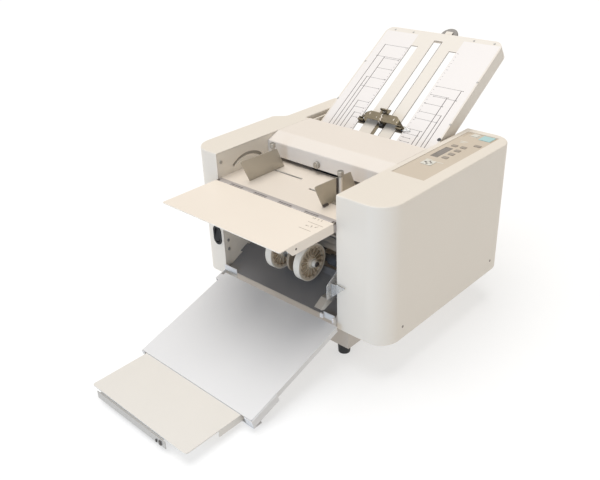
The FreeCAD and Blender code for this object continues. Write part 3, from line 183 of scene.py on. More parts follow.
paints = {
    # painted and moulded casings
    "case": surface("caseCream", (0.775, 0.712, 0.625), 0.50, relief=0.10, mottle=0.012),
    # the cover's cream is a lighter copy of the case's: painted light for its front, which sits in
    # the shade of the cases and the leaf
    "cover": surface("coverCreamLightened", (0.785, 0.715, 0.64), 0.50, relief=0.10, mottle=0.012),
    # the frames' cream is made lighter as painted light for their inner faces in the recess's
    # shade
    "frame": surface("frameCreamLightened", (0.84, 0.77, 0.665), 0.45, grain=450, relief=0.06, mottle=0.03),
    "slotBack": surface("slotGrey", (0.47, 0.43, 0.37), 0.45, grain=450, relief=0.06, mottle=0.04),
    "extension": surface("extensionCream", (0.72, 0.68, 0.62), 0.45, grain=500, relief=0.06,
                         mottle=0.02),
    "ramp": surface("rampGrey", (0.69, 0.67, 0.65), 0.45, grain=500, relief=0.06, mottle=0.02),
    "base": surface("baseBrown", (0.52, 0.475, 0.425), 0.36, 0.3, grain=500, relief=0.08,
                    mottle=0.06),
    "chute": surface("chuteGrey", (0.17, 0.162, 0.158), 0.40, 0.1, grain=600, relief=0.08,
                     mottle=0.08),
    "plate": surface("plateCream", (0.775, 0.715, 0.635), 0.42, grain=500, relief=0.05,
                     mottle=0.012),
    "post": surface("postBeige", (0.80, 0.71, 0.60), 0.48, grain=500, relief=0.06, mottle=0.03),
    # print
    "white": surface("printWhite", (0.82, 0.775, 0.745), 0.42, grain=500, relief=0.03,
                     mottle=0.008),
    "ink": surface("inkLine", (0.09, 0.07, 0.06), 0.55, grain=900, relief=0.02, mottle=0.15),
    "fineInk": surface("fineInk", (0.24, 0.225, 0.22), 0.55, grain=900, relief=0.02, mottle=0.12),
    "paleInk": surface("paleInk", (0.36, 0.30, 0.23), 0.55, grain=900, relief=0.02, mottle=0.12),
    "brownLine": surface("brownLine", (0.42, 0.33, 0.22), 0.5, grain=900, relief=0.02,
                         mottle=0.08),
    # panel and keys
    "panel": surface("panelTan", (0.61, 0.525, 0.42), 0.42, grain=600, relief=0.04, mottle=0.02),
    "key": surface("keyGrey", (0.36, 0.31, 0.26), 0.45, grain=700, relief=0.06, mottle=0.05),
    "cyan": surface("keyCyan", (0.42, 0.63, 0.63), 0.42, grain=700, relief=0.05, mottle=0.02),
    "paleKey": surface("keyPale", (0.72, 0.70, 0.63), 0.45, grain=700, relief=0.05, mottle=0.02),
    "display": surface("displayGlass", (0.20, 0.175, 0.15), 0.20, grain=500, relief=0.01,
                       mottle=0.05, coat=0.2),
    "board": surface("boardGreen", (0.03, 0.16, 0.07), 0.5, grain=300, relief=0.3, mottle=0.2),
    # dark plastic and rubber
    "black": surface("blackPlastic", (0.025, 0.025, 0.027), 0.38, grain=800, relief=0.12,
                     mottle=0.15),
    "switch": surface("switchBlack", (0.009, 0.009, 0.009), 0.62, grain=800, relief=0.12,
                      mottle=0.15),
    "rubber": surface("blackRubber", (0.02, 0.02, 0.021), 0.62, grain=500, relief=0.2, mottle=0.2),
    "roller": surface("rollerRubber", (0.06, 0.06, 0.062), 0.6, grain=500, relief=0.25,
                      mottle=0.15),
    "belt": surface("beltBlack", (0.02, 0.02, 0.02), 0.7, grain=400, relief=0.3, mottle=0.15),
    "motor": surface("motorGrey", (0.10, 0.10, 0.11), 0.35, 0.5, grain=500, relief=0.08,
                     mottle=0.08),
    "dial": surface("dialGrey", (0.26, 0.24, 0.22), 0.45, grain=600, relief=0.2, mottle=0.12),
    # dark brown for dark fittings; on the right guide's fold, the flange hole and the rear vents
    # it is painted shade
    "darkAndShade": surface("darkBrownAndShade", (0.10, 0.085, 0.075), 0.5, 0.3, grain=700, relief=0.1,
                    mottle=0.1),
    # bare metal
    "zinc": brushed("zincSheet", (0.50, 0.485, 0.46), 0.38, (1, 12, 12), 0.75),
    "guide": brushed("guideSteel", (0.52, 0.48, 0.405), 0.42, (14, 1, 14), 0.7),
    "steel": brushed("brightSteel", (0.66, 0.65, 0.63), 0.24, (1, 1, 12)),
    "knurl": brushed("knurledSteel", (0.45, 0.42, 0.37), 0.34, (6, 6, 1), 0.7),
    "rod": brushed("rodSteel", (0.40, 0.39, 0.38), 0.32, (14, 1, 1)),
    "bush": brushed("bushBronze", (0.62, 0.44, 0.22), 0.40, (1, 1, 1)),
    "bronze": brushed("bronzeSteel", (0.145, 0.12, 0.08), 0.38, (2, 14, 14), 0.75),
    "leaf": brushed("hingeSteel", (0.30, 0.265, 0.23), 0.36, (1, 14, 14), 0.8),
}
print("paints:", len(paints))


# the hinge of the front leaf shows as bare metal between the two painted sheets
def hingedSheet(name, colour):
    hinge = {"y": 1.0, "reach": 7.2, "colour": (0.50, 0.46, 0.44), "metal": 0.3,
             "edgeY": -5.6, "edgeReach": 0.7, "edgeColour": (0.16, 0.135, 0.12),
             "grain": 450.0, "relief": 0.06, "mottle": 0.015, "rough": (0.34, 0.48)}
    mat, tree, shader, coords = newMaterial(name)
    along = axisOf(tree, coords, "Y")
    metal = within(tree, along, (hinge["y"] - frontShift) * mm, hinge["reach"] * mm)
    edge = within(tree, along, (hinge["edgeY"] - frontShift) * mm, hinge["edgeReach"] * mm)
    broad = noiseAt(tree, coords, coating["broadGrain"], coating["broadDetail"])
    fine = noiseAt(tree, coords, hinge["grain"])
    darker, lighter = (tinted(colour, 1 + sign * hinge["mottle"]) for sign in (-1, 1))
    leafed = mixed(tree, metal, mixed(tree, broad, darker, lighter), hinge["colour"])
    tree.links.new(mixed(tree, edge, leafed, hinge["edgeColour"]), shader.inputs["Base Color"])
    tree.links.new(ranged(tree, metal, 0.0, hinge["metal"]), shader.inputs["Metallic"])
    tree.links.new(ranged(tree, fine, *hinge["rough"]), shader.inputs["Roughness"])
    bumped(tree, shader, fine, hinge["relief"])
    return mat


# stacker wheels: white tyre and boss, tan face with painted ribs, the grooves between them darker
# as painted shade, a pale ring, brown inner disc
def wheelMaterial():
    wheel = {"boss": 10.4, "ring": (12.6, 15.0), "face": 37.6, "rim": 3, "full": 50.0,
             "ribs": 16.0, "wave": (-0.1, 0.5), "discInset": 51, "discHalf": 4.5,
             "wear": 0.2, "wearGrain": 60.0, "grain": 600.0, "relief": 0.12, "rough": (0.38, 0.52),
             "white": (0.85, 0.79, 0.69), "tan": (0.74, 0.63, 0.49), "pale": (0.80, 0.71, 0.57),
             "gap": (0.46, 0.38, 0.28), "brown": (0.30, 0.25, 0.19)}
    across, along, high = span("stacker_wheels")
    discX = across[1] - wheel["discInset"]  # the inner disc, from the outer end of the axle
    mat, tree, shader, coords = newMaterial("wheelTan")
    shifted = vectorNode(tree, "SUBTRACT", coords, place(0, middle(along), middle(high)))
    reach = vectorNode(tree, "LENGTH", vectorNode(tree, "MULTIPLY", shifted, (0, 1, 1)))
    steps = tree.nodes.new("ShaderNodeValToRGB")
    steps.color_ramp.interpolation = "CONSTANT"
    full = wheel["full"]
    tree.links.new(ranged(tree, reach, 0.0, 1.0, 0.0, full * mm), steps.inputs["Fac"])
    stops = ((0.0, "white"), (wheel["boss"], "tan"), (wheel["ring"][0], "pale"),
             (wheel["ring"][1], "tan"), (wheel["face"], "white"))
    elements = steps.color_ramp.elements
    for i, (radius, colour) in enumerate(stops):
        element = elements[i] if i < 2 else elements.new(radius / full)
        element.position = radius / full
        element.color = (*wheel[colour], 1.0)
    turn = mathNode(tree, "ARCTAN2", axisOf(tree, shifted, "Z"), axisOf(tree, shifted, "Y"))
    wave = mathNode(tree, "SINE", mathNode(tree, "MULTIPLY", turn, wheel["ribs"]))
    ribbing = (wheel["ring"][1], wheel["face"] - wheel["rim"])
    between = within(tree, reach, middle(ribbing) * mm, (ribbing[1] - ribbing[0]) / 2 * mm)
    # the grooves between the ribs get the darker gap colour as painted shade
    grooveShade = mathNode(tree, "MULTIPLY", ranged(tree, wave, 0.0, 1.0, *wheel["wave"]), between)
    ribbed = mixed(tree, grooveShade, steps.outputs["Color"], wheel["gap"])
    inner = within(tree, axisOf(tree, coords, "X"), discX * mm, wheel["discHalf"] * mm)
    tint = mixed(tree, inner, ribbed, wheel["brown"])
    patches = noiseAt(tree, coords, wheel["wearGrain"], coating["broadDetail"])
    worn = mixed(tree, wheel["wear"], tint, patches, "MULTIPLY")
    tree.links.new(worn, shader.inputs["Base Color"])
    fine = noiseAt(tree, coords, wheel["grain"])
    tree.links.new(ranged(tree, fine, *wheel["rough"]), shader.inputs["Roughness"])
    bumped(tree, shader, fine, wheel["relief"])
    return mat


def clearMaterial():
    sheet = {"colour": (0.95, 0.95, 0.94), "through": 0.75, "bend": 1.49, "grain": 120.0,
             "rough": (0.03, 0.10), "relief": 0.03}
    mat, tree, shader, coords = newMaterial("clearPlastic")
    shader.inputs["Base Color"].default_value = (*sheet["colour"], 1.0)
    shader.inputs["Transmission Weight"].default_value = sheet["through"]
    shader.inputs["IOR"].default_value = sheet["bend"]
    fine = noiseAt(tree, coords, sheet["grain"])
    tree.links.new(ranged(tree, fine, *sheet["rough"]), shader.inputs["Roughness"])
    bumped(tree, shader, fine, sheet["relief"])
    return mat


paints["table"] = hingedSheet("tableCream", (0.77, 0.69, 0.60))
paints["flap"] = hingedSheet("flapCream", (0.84, 0.755, 0.655))
paints["wheel"] = wheelMaterial()
paints["clear"] = clearMaterial()

# a node that isn't named here is a grey key
nodePaint = {
    "base_tray": "base", "feet": "rubber", "left_frame": "frame", "right_frame": "frame",
    "tie_bars": "rod", "frame_pins": "zinc", "bearing_bushes": "bush", "right_case": "case",
    "left_case": "case", "control_panel": "panel", "display_window": "display",
    "key_board": "board", "switch_bezel": "switch", "power_rocker": "switch",
    "power_inlet": "black", "feed_table": "table", "front_flap": "flap", "flap_hinge_pin": "leaf",
    "left_guide": "guide", "right_guide": "guide", "left_guide_knob": "steel",
    "right_guide_knob": "steel", "top_cover": "cover", "cover_knob": "steel",
    "feed_roller": "roller", "separator_block": "black", "fold_roller_1": "rod",
    "fold_roller_2": "rod", "fold_roller_3": "rod", "fold_roller_4": "rod",
    "exit_roller": "roller", "drive_motor": "motor", "motor_pulley": "steel",
    "drive_belt": "belt", "paper_guides": "zinc", "chute_plate": "chute", "stacker_arm": "zinc",
    "stacker_wheels": "wheel", "ramp_tray": "ramp", "ramp_bracket": "ramp",
    "clear_guide": "clear", "extension_tray": "extension", "stopper_bar": "zinc",
    "fold_plate_1_top": "plate", "fold_plate_1_bottom": "plate", "fold_stop_1": "bronze",
    "stop_feet_1": "rubber", "stop_screw_1": "steel", "skew_knob": "knurl",
    "fold_plate_2": "plate", "fold_stop_2": "zinc", "start_key": "cyan", "stop_key": "paleKey",
    "arrow_key": "paleKey",
}
for name, node in nodes.items():
    node.data.materials.clear()
    node.data.materials.append(paints[nodePaint.get(name, "key")])
print("nodes painted")


# modelling helpers: meshes are made in mm, with y from the case fronts, and moved to the frame
# at the end
modelling = {"mergeReach": 0.001, "rimBand": 0.4, "sharpAngle": 35}


def addBlock(bm, x, y, z, turn=None, bevel=0.0):
    size = Matrix.Diagonal((x[1] - x[0], y[1] - y[0], z[1] - z[0], 1))
    matrix = Matrix.Translation((middle(x), middle(y), middle(z))) @ size
    made = bmesh.ops.create_cube(bm, size=1, matrix=(turn @ matrix) if turn else matrix)
    if bevel:
        edges = {e for v in made["verts"] for e in v.link_edges}
        bmesh.ops.bevel(bm, geom=list(edges), offset=bevel, affect="EDGES", segments=2,
                        profile=0.5, material=-1)


def addPrism(bm, corners, low, high, turn=None):
    base = bm.faces.new([bm.verts.new((x, y, low)) for x, y in corners])
    grown = bmesh.ops.extrude_face_region(bm, geom=[base])["geom"]
    upper = [v for v in grown if isinstance(v, bmesh.types.BMVert)]
    bmesh.ops.translate(bm, vec=(0, 0, high - low), verts=upper)
    if turn:
        bmesh.ops.transform(bm, matrix=turn, verts=upper + list(base.verts))


# a turned shape from (radius, height) pairs about the matrix's own Z; knurl is the share that
# every second step of the rim is cut in by
def addTurned(bm, profile, matrix, steps=40, knurl=0.0):
    known = set(bm.verts)
    outer = max(radius for radius, height in profile)
    line = [bm.verts.new((radius, 0, height)) for radius, height in profile]
    edges = [bm.edges.new(pair) for pair in zip(line, line[1:])]
    bmesh.ops.spin(bm, geom=line + edges, cent=(0, 0, 0), axis=(0, 0, 1), angle=2 * math.pi,
                   steps=steps, use_merge=True)
    bmesh.ops.remove_doubles(bm, verts=[v for v in bm.verts if v not in known],
                             dist=modelling["mergeReach"])
    fresh = [v for v in bm.verts if v not in known]
    for v in fresh:
        step = round(math.atan2(v.co.y, v.co.x) * steps / (2 * math.pi))
        if knurl and step % 2 and v.co.xy.length > outer - modelling["rimBand"]:
            v.co.xy *= 1 - knurl
    bmesh.ops.transform(bm, matrix=matrix, verts=fresh)


def finishPiece(name, bm, paint, body, smooth=False):
    bmesh.ops.recalc_face_normals(bm, faces=bm.faces)
    bmesh.ops.scale(bm, vec=(mm, mm, mm), verts=bm.verts)
    bmesh.ops.translate(bm, vec=(0, -frontShift * mm, 0), verts=bm.verts)
    mesh = bpy.data.meshes.new(name)
    bm.to_mesh(mesh)
    bm.free()
    if smooth:
        for face in mesh.polygons:
            face.use_smooth = True
        mesh.set_sharp_from_angle(angle=math.radians(modelling["sharpAngle"]))
    piece = bpy.data.objects.new(name, mesh)
    bpy.context.scene.collection.objects.link(piece)
    mesh.materials.append(paints[paint])
    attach(piece, body)
    return piece


def at(x, y, z):
    return Matrix.Translation((x, y, z))


def turnedBy(degrees, axis):
    return Matrix.Rotation(math.radians(degrees), 4, axis)


facingFront = turnedBy(90, "X")  # a turned shape's Z towards -Y
facingBack = turnedBy(-90, "X")
facingRight = turnedBy(90, "Y")
facingLeft = turnedBy(-90, "Y")
screwHead = [(0, 1.0), (0.9, 1.0), (1.0, 0.5), (1.6, 0.9), (2.4, 0.6), (3.0, 0.1), (3.0, -0.4),
             (0, -0.4)]
inkHigh = (0.02, 0.12)  # print stands this far off its face

tableX, _, tableZ = span("feed_table")
tableTop = tableZ[1]
mid = middle(tableX)
leftInner, rightInner = tableX

# upper fold plate: printed size lines, strips and screws, placed by x and by s, the way down
# from its upper edge
plate = {"slope": math.radians(33.57), "depth": 33, "start": 13, "end": 344, "margin": 4,
         "slots": {"left": (-79.25, -61.25, 50), "mid": (-28, -7.5, 25),
                   "right": (25.75, 43.75, 50)},
         "sheet": 0.08, "sheetGap": 1, "line": 1.6, "rung": 0.9, "dot": 1.1}
plateX, plateY, plateZ = span("fold_plate_1_top")
plateTop = at(0, plateY[1] - plate["depth"] * math.sin(plate["slope"]), plateZ[1])
onPlate = plateTop @ Matrix.Rotation(plate["slope"], 4, "X")
slots = plate["slots"]


def plateStrip(bm, x, s, height=inkHigh[1]):
    addBlock(bm, x, (-s[1], -s[0]), (inkHigh[0], height), onPlate)


def plateLine(bm, x, s, width=plate["line"]):
    plateStrip(bm, (x - width / 2, x + width / 2), (s, plate["end"]))


def plateRung(bm, x0, x1, s, width=plate["rung"]):
    plateStrip(bm, (x0, x1), (s - width / 2, s + width / 2))


sheets = bmesh.new()
for x in ((plateX[0] + plate["margin"], slots["left"][0] - plate["sheetGap"]),
          (slots["right"][1] + plate["sheetGap"], plateX[1] - plate["margin"])):
    plateStrip(sheets, x, (plate["start"], plate["end"]), plate["sheet"])
finishPiece("printed_sheets", sheets, "white", "plate_1")

sizeLines = {"columns": ((-150.5, 58.8), (-138.7, 163), (-128.8, 96.5), (-117.2, 235),
                         (-105.6, 269), (115.5, 151.8), (106.5, 226.8), (93.4, 177),
                         (82.6, 277.5)),
             "slotEdges": {"left": (0,), "mid": (0, 1), "right": (0,)},
             "slotLine": 1.1, "slotOut": 0.4, "endOut": 0.8, "endUp": 0.5}
lines = bmesh.new()
for x, s in sizeLines["columns"]:
    plateLine(lines, x, s)
for name, edges in sizeLines["slotEdges"].items():
    x0, x1, end = slots[name]
    for edge in edges:
        out = sizeLines["slotOut"] if edge else -sizeLines["slotOut"]
        plateLine(lines, slots[name][edge] + out, end, sizeLines["slotLine"])
    plateRung(lines, x0 - sizeLines["endOut"], x1 + sizeLines["endOut"],
              end - sizeLines["endUp"], sizeLines["slotLine"])
finishPiece("size_lines", lines, "ink", "plate_1")

sizeRungs = {"places": ((-150.5, -83.4, 58.7), (-152.5, -84, 96), (-128.8, -86, 100),
                        (-128.8, -86.5, 131.5), (-138.7, -85.3, 163), (-138.7, -85.6, 191.6),
                        (-117.2, -86.3, 235), (-117.2, -88.7, 253.3), (-105.6, -88, 269),
                        (-105.6, -90, 282), (51.9, 119.5, 151.8), (50.2, 96.7, 176.8),
                        (59.5, 118.4, 180.3), (50.6, 96, 203), (50.1, 106.5, 227),
                        (51.3, 106.5, 246.5), (48, 86.5, 277.5), (48, 84.1, 291),
                        (53.2, 70, 302.2), (51.8, 72.7, 312.6)),
             "ticks": 28, "pitch": 10, "leftStart": 62, "rightStart": 52, "gap": 4,
             "short": 3.0, "long": 5.0, "longEvery": 5}
rungs = bmesh.new()
dot = plate["dot"]
for x0, x1, s in sizeRungs["places"]:
    plateRung(rungs, x0, x1, s)
    for x in (x0, x1):
        plateStrip(rungs, (x - dot, x + dot), (s - dot, s + dot))
tickLeft, tickRight = slots["left"][0] - sizeRungs["gap"], slots["right"][1] + sizeRungs["gap"]
for i in range(sizeRungs["ticks"]):
    reach = sizeRungs["short" if i % sizeRungs["longEvery"] else "long"]
    down = i * sizeRungs["pitch"]
    plateRung(rungs, tickLeft - reach, tickLeft, sizeRungs["leftStart"] + down)
    plateRung(rungs, tickRight, tickRight + reach, sizeRungs["rightStart"] + down)
finishPiece("size_rungs", rungs, "fineInk", "plate_1")

plateScrews = {"places": ((-151, 8), (-98, 8), (68, 8), (120, 8), (-172, 119), (-174, 242),
                          (138, 121), (139, 243)),
               "seat": 0.05, "size": 0.85, "steps": 24}
heads = bmesh.new()
for x, s in plateScrews["places"]:
    headAt = onPlate @ at(x, -s, plateScrews["seat"]) @ Matrix.Scale(plateScrews["size"], 4)
    addTurned(heads, screwHead, headAt, plateScrews["steps"])
finishPiece("plate_screws", heads, "zinc", "plate_1", smooth=True)

grommet = {"x": 136, "s": 286.5, "seat": 0.05, "steps": 28,
           "profile": [(0, 0.2), (1.8, 0.3), (2.4, 1.0), (3.6, 1.0), (4.3, 0.5), (4.4, -0.3),
                       (0, -0.3)]}
ring = bmesh.new()
addTurned(ring, grommet["profile"], onPlate @ at(grommet["x"], -grommet["s"], grommet["seat"]),
          grommet["steps"])
finishPiece("plate_grommet", ring, "black", "plate_1", smooth=True)
print("plate dressed")

# paper stop on the fold plate, with x from the table's middle and y up the plate from its front
stop = {"s": 286, "rise": 14, "seat": 0.05}
onStop = onPlate @ at(mid, -stop["s"], 0)
stopTop = stop["rise"] + stop["seat"]

# winged thumb screw and the bright collar on its stem
wingScrew = {"back": 26, "steps": 40, "thick": 2.6,
             "stem": [(0, 19.4), (2.5, 19.4), (2.5, 2.6), (5, 2.5), (5, 1.2), (0, 1.2)],
             "wing": ((-9.5, 19.5), (-4, 18.6), (4, 18.6), (9.5, 19.5), (8.5, 24.5), (5, 25),
                      (0, 22), (-5, 25), (-8.5, 24.5)),
             "collar": [(2.55, 18.8), (4.2, 18.8), (4.6, 18.2), (4.6, 15.0), (4.2, 14.4),
                        (2.55, 14.4), (2.55, 18.8)]}
screwAt = onStop @ at(0, wingScrew["back"], 0)
thumb = bmesh.new()
addTurned(thumb, wingScrew["stem"], screwAt, wingScrew["steps"])
addPrism(thumb, wingScrew["wing"], -wingScrew["thick"] / 2, wingScrew["thick"] / 2,
         screwAt @ facingFront)
piece = finishPiece("stop_thumb_screw", thumb, "bronze", "stop_screw", smooth=True)
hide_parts("stop_screw_1")
collar = bmesh.new()
addTurned(collar, wingScrew["collar"], screwAt, wingScrew["steps"])
finishPiece("stop_screw_collar", collar, "steel", "stop_screw", smooth=True)

# each rubber: its middle, the half widths of body and toe, and how far the body reaches
stopRubbers = {"places": ((-52.5, 6.6, 6, 4), (5.4, 4.4, 3, 8.5), (52.5, 6.6, 6, 4)),
               "gap": 0.05, "high": (0.6, 8.2), "bevel": 1.0,
               "toe": (-3.9, -0.1), "toeHigh": (-3.4, 1.2)}
rubbers = bmesh.new()
for x, half, toe, reach in stopRubbers["places"]:
    addBlock(rubbers, (x - half, x + half), (-reach, -stopRubbers["gap"]), stopRubbers["high"],
             onStop, stopRubbers["bevel"])
    addBlock(rubbers, (x - toe, x + toe), stopRubbers["toe"], stopRubbers["toeHigh"], onStop)
piece = finishPiece("stop_rubbers", rubbers, "rubber", "stop_1")
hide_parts("stop_feet_1")
print("stop screw and rubbers")

stopBracket = {"kinks": ((4, 1), (-1, 6), (3, 9), (-3, 15), (0, 19)), "half": 1.0, "thick": 1.2,
               "tab": ((-3, 1), (-0.9, -0.1), (2.2, 13.6))}
bracket = bmesh.new()
for (x0, y0), (x1, y1) in zip(stopBracket["kinks"], stopBracket["kinks"][1:]):
    side = Vector((y1 - y0, x0 - x1)).normalized() * stopBracket["half"]
    corners = [(x + sign * side.x, y + sign * side.y)
               for x, y, sign in ((x0, y0, -1), (x0, y0, 1), (x1, y1, 1), (x1, y1, -1))]
    addPrism(bracket, corners, stopTop, stopTop + stopBracket["thick"], onStop)
addBlock(bracket, *stopBracket["tab"], onStop)
finishPiece("stop_bracket", bracket, "post", "stop_1")

# rivets: place and half length
stopRivets = {"places": ((-46, 8, 1.3), (-34, 14, 3.2), (-12, 8, 1.5), (33, 12, 3.2),
                         (44, 7, 1.3)),
              "r": 2.2, "narrow": 0.62, "steps": 20,
              "profile": [(0, 0.5), (1.6, 0.45), (2.2, 0.1), (2.2, -0.4), (0, -0.4)]}
rivets = bmesh.new()
for x, y, half in stopRivets["places"]:
    slotted = Matrix.Diagonal((stopRivets["narrow"], half / stopRivets["r"], 1, 1))
    addTurned(rivets, stopRivets["profile"], onStop @ at(x, y, stopTop) @ slotted,
              stopRivets["steps"])
finishPiece("stop_rivets", rivets, "post", "stop_1", smooth=True)

# ears: depth, height and bevel of the upper flat and of its lip
stopEars = {"reach": (45, 60.2),
            "blocks": (((-5.2, -0.1), (8.6, 9.6), 0.3), ((-5.2, -4.3), (4.8, 8.6), 0.2))}
ears = bmesh.new()
for sign in (-1, 1):
    for y, z, bevel in stopEars["blocks"]:
        addBlock(ears, sorted(sign * reach for reach in stopEars["reach"]), y, z, onStop, bevel)
finishPiece("stop_ears", ears, "bronze", "stop_1")

stopPointer = {"corners": ((58, 8), (58, -3), (76, -1), (79, 3), (76, 7)), "high": (0.9, 2.0)}
pointer = bmesh.new()
addPrism(pointer, stopPointer["corners"], *stopPointer["high"], onStop)
finishPiece("stop_pointer", pointer, "clear", "stop_1")

# slant setting dial under the plate's upper edge
dial = {"r": 22, "edge": 1.2, "boss": 8, "hub": 7, "bore": 3.1, "beyond": 4, "steps": 96,
        "knurl": 0.025}
r, rim, hub, bore = dial["r"], dial["r"] - dial["edge"], dial["hub"], dial["bore"]
profile = [(bore, -14), (hub, -14), (hub, -13.2), (rim, -13), (r, -12), (r, -7.5), (rim, -6.5),
           (dial["boss"], -6.5), (hub, -5.7), (bore, -5.7), (bore, -14)]
skew = bmesh.new()
addTurned(skew, profile, onPlate @ at(middle(span("skew_knob")[0]), dial["beyond"], 0),
          dial["steps"], dial["knurl"])
piece = finishPiece("skew_dial", skew, "dial", "skew_knob", smooth=True)
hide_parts("skew_knob")
print("stop and dial")

# knurled thumb screws of the side guides, with heights from their tops
guideScrew = {"r": 6.4, "stem": 2.5, "steps": 60, "knurl": 0.03}
r, stem = guideScrew["r"], guideScrew["stem"]
guideHead = [(0, -1.2), (4.4, -1.2), (4.5, 0), (r - 0.8, 0), (r, -0.6), (r, -8.4), (r - 0.6, -9),
             (4.2, -9), (4.0, -12), (stem, -12.1)]
for side in ("left", "right"):
    screwX, screwY, (low, top) = span(side + "_guide_knob")
    profile = [(radius, top + z) for radius, z in guideHead] + [(stem, low), (0, low)]
    knob = bmesh.new()
    addTurned(knob, profile, at(middle(screwX), middle(screwY), 0), guideScrew["steps"],
              guideScrew["knurl"])
    piece = finishPiece(side + "_thumb_screw", knob, "knurl", side + "_guide_knob",
                        smooth=True)
    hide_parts(side + "_guide_knob")

# the cover's screw, with heights from its seat
coverScrew = {"stem": 2.45, "flange": 5, "head": 8, "steps": 60, "knurl": 0.03}
coverX, coverY, coverZ = span("cover_knob")
r, stem, flange = (coverZ[1] - coverZ[0]) / 2, coverScrew["stem"], coverScrew["flange"]
profile = [(0, 7.6), (2.6, 7.8), (3.0, 7.0), (r - 1.6, 7.3), (r - 0.4, 6.9), (r, 6.0), (r, 0.6),
           (r - 0.8, 0.2), (stem, 0.2), (stem, -3.2), (flange, -3.2), (flange, -7), (stem, -7),
           (stem, -8), (0, -8)]
knob = bmesh.new()
addTurned(knob, profile,
          at(middle(coverX), coverY[0] + coverScrew["head"], middle(coverZ)) @ facingFront,
          coverScrew["steps"], coverScrew["knurl"])
piece = finishPiece("cover_thumb_screw", knob, "knurl", "cover_knob", smooth=True)
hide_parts("cover_knob")
print("thumb screws")


def aboveTable(heights):
    return tuple(tableTop + z for z in heights)


# side guides: clamp ribs on the foot and a tube round the stud; only the right one has a fold on
# its plate, painted dark as painted shadow of the gap behind it, and a small dark block at the
# front of its
# foot: how far ahead of the stud they are, their thickness, height and bevel
guide = {"stud": 4.8, "thick": 1.5, "gap": 0.05,
         "ribsAt": (-19, 13), "ribLong": 6, "ribs": (9.6, 26), "ribHigh": (2.35, 4.5),
         "ribBevel": 0.5,
         "tube": (2.8, 3.9), "tubeHigh": (9.6, 47.7), "tubeEdge": 0.4, "tubeSteps": 36,
         "folds": {"guide_fold_shadow": ((8.6, 4.2), 1.0, (3, 47.5), 0.2),
                   "guide_heel": ((49, 35), 3, (0.4, 4.5), 0.4)}}
for side, sign in (("left", -1), ("right", 1)):
    knobX, knobY, _ = span(side + "_guide_knob")
    studX, studY = middle(knobX), middle(knobY)
    face = studX - sign * guide["stud"]
    ribs = bmesh.new()
    for dy in guide["ribsAt"]:
        addBlock(ribs, sorted(face + sign * reach for reach in guide["ribs"]),
                 (studY + dy, studY + dy + guide["ribLong"]), aboveTable(guide["ribHigh"]),
                 bevel=guide["ribBevel"])
    finishPiece(side + "_guide_ribs", ribs, "guide", side + "_guide")
    (inner, outer), (low, high) = guide["tube"], guide["tubeHigh"]
    edge = guide["tubeEdge"]
    tube = bmesh.new()
    addTurned(tube, [(inner, low), (outer, low), (outer, high - edge), (outer - edge, high),
                     (inner, high), (inner, low)],
              at(studX, studY, tableTop), guide["tubeSteps"])
    finishPiece(side + "_guide_tube", tube, "post", side + "_guide", smooth=True)
    if side == "right":
        skin = face + guide["thick"]
        # both take the dark paint, which on the fold is painted shadow
        for name, (ahead, thick, heights, bevel) in guide["folds"].items():
            fold = bmesh.new()
            addBlock(fold, (skin + guide["gap"], skin + thick), tuple(studY - y for y in ahead),
                     aboveTable(heights), bevel=bevel)
            finishPiece(name, fold, "darkAndShade", "right_guide")
print("guides dressed")

# front leaf: rolled hinge ends, printed setting marks and a dark disc for the hole in its side
# flange, whose dark is painted shade
leaf = {"ends": (rightInner - 4.5, leftInner + 1.2), "endWide": 3.3, "y": -2.5, "drop": 3,
        "r": 3.4, "bore": 1.6, "steps": 32,
        "marks": ((101.8, 138.3, -29), (103.5, 132.4, -56.3)), "markHalf": 0.5,
        "ticks": (99.5, 103.5, 112, 119.8), "tickWide": 1.6, "tickY": (-14.5, -10.5),
        "arrows": ((120.7, -40.5, 20), (129.5, -37, 150), (112, -43, 90)),
        "arrow": ((-0.6, -4), (0.6, -4), (0.6, 1), (2, 1), (0, 4), (-2, 1), (-0.6, 1))}
r, bore, wide = leaf["r"], leaf["bore"], leaf["endWide"]
hingeEnds = bmesh.new()
for x in leaf["ends"]:
    addTurned(hingeEnds, [(bore, 0), (r, 0), (r, wide), (bore, wide), (bore, 0)],
              at(x, leaf["y"], tableTop - leaf["drop"]) @ facingRight, leaf["steps"])
finishPiece("hinge_ends", hingeEnds, "leaf", "machine", smooth=True)
marks = bmesh.new()
markZ = aboveTable(inkHigh)
for x0, x1, y in leaf["marks"]:
    addBlock(marks, (x0, x1), (y - leaf["markHalf"], y + leaf["markHalf"]), markZ)
for i, x in enumerate(leaf["ticks"]):
    addBlock(marks, (x, x + leaf["tickWide"]), (leaf["tickY"][0], leaf["tickY"][1] + i % 2), markZ)
for x, y, turn in leaf["arrows"]:
    addPrism(marks, leaf["arrow"], *markZ, at(x, y, 0) @ turnedBy(turn, "Z"))
finishPiece("leaf_marks", marks, "paleInk", "flap")

# a low disc in the dark paint stands for the hole; its dark is painted shade
flangeHoleShade = {"y": -107.6, "z": 314.4, "steps": 20,
              "profile": [(0, 0.15), (1.9, 0.15), (2.3, 0.05), (2.3, -0.5), (0, -0.5)]}
hole = bmesh.new()
holeAt = at(span("front_flap")[0][1], flangeHoleShade["y"], flangeHoleShade["z"]) @ facingRight
addTurned(hole, flangeHoleShade["profile"], holeAt, flangeHoleShade["steps"])
finishPiece("flange_hole_shade", hole, "darkAndShade", "flap", smooth=True)
print("front leaf dressed")

# wheel axle's dark end
axle = {"steps": 32,
        "profile": [(0, 2.2), (3.4, 2.2), (5.0, 1.7), (5.8, 0.4), (5.8, -0.6), (0, -0.6)]}
wheelX, wheelY, wheelZ = span("stacker_wheels")
axleEnd = bmesh.new()
addTurned(axleEnd, axle["profile"], at(wheelX[1], middle(wheelY), middle(wheelZ)) @ facingRight,
          axle["steps"])
finishPiece("axle_end", axleEnd, "darkAndShade", "stacker_wheels", smooth=True)

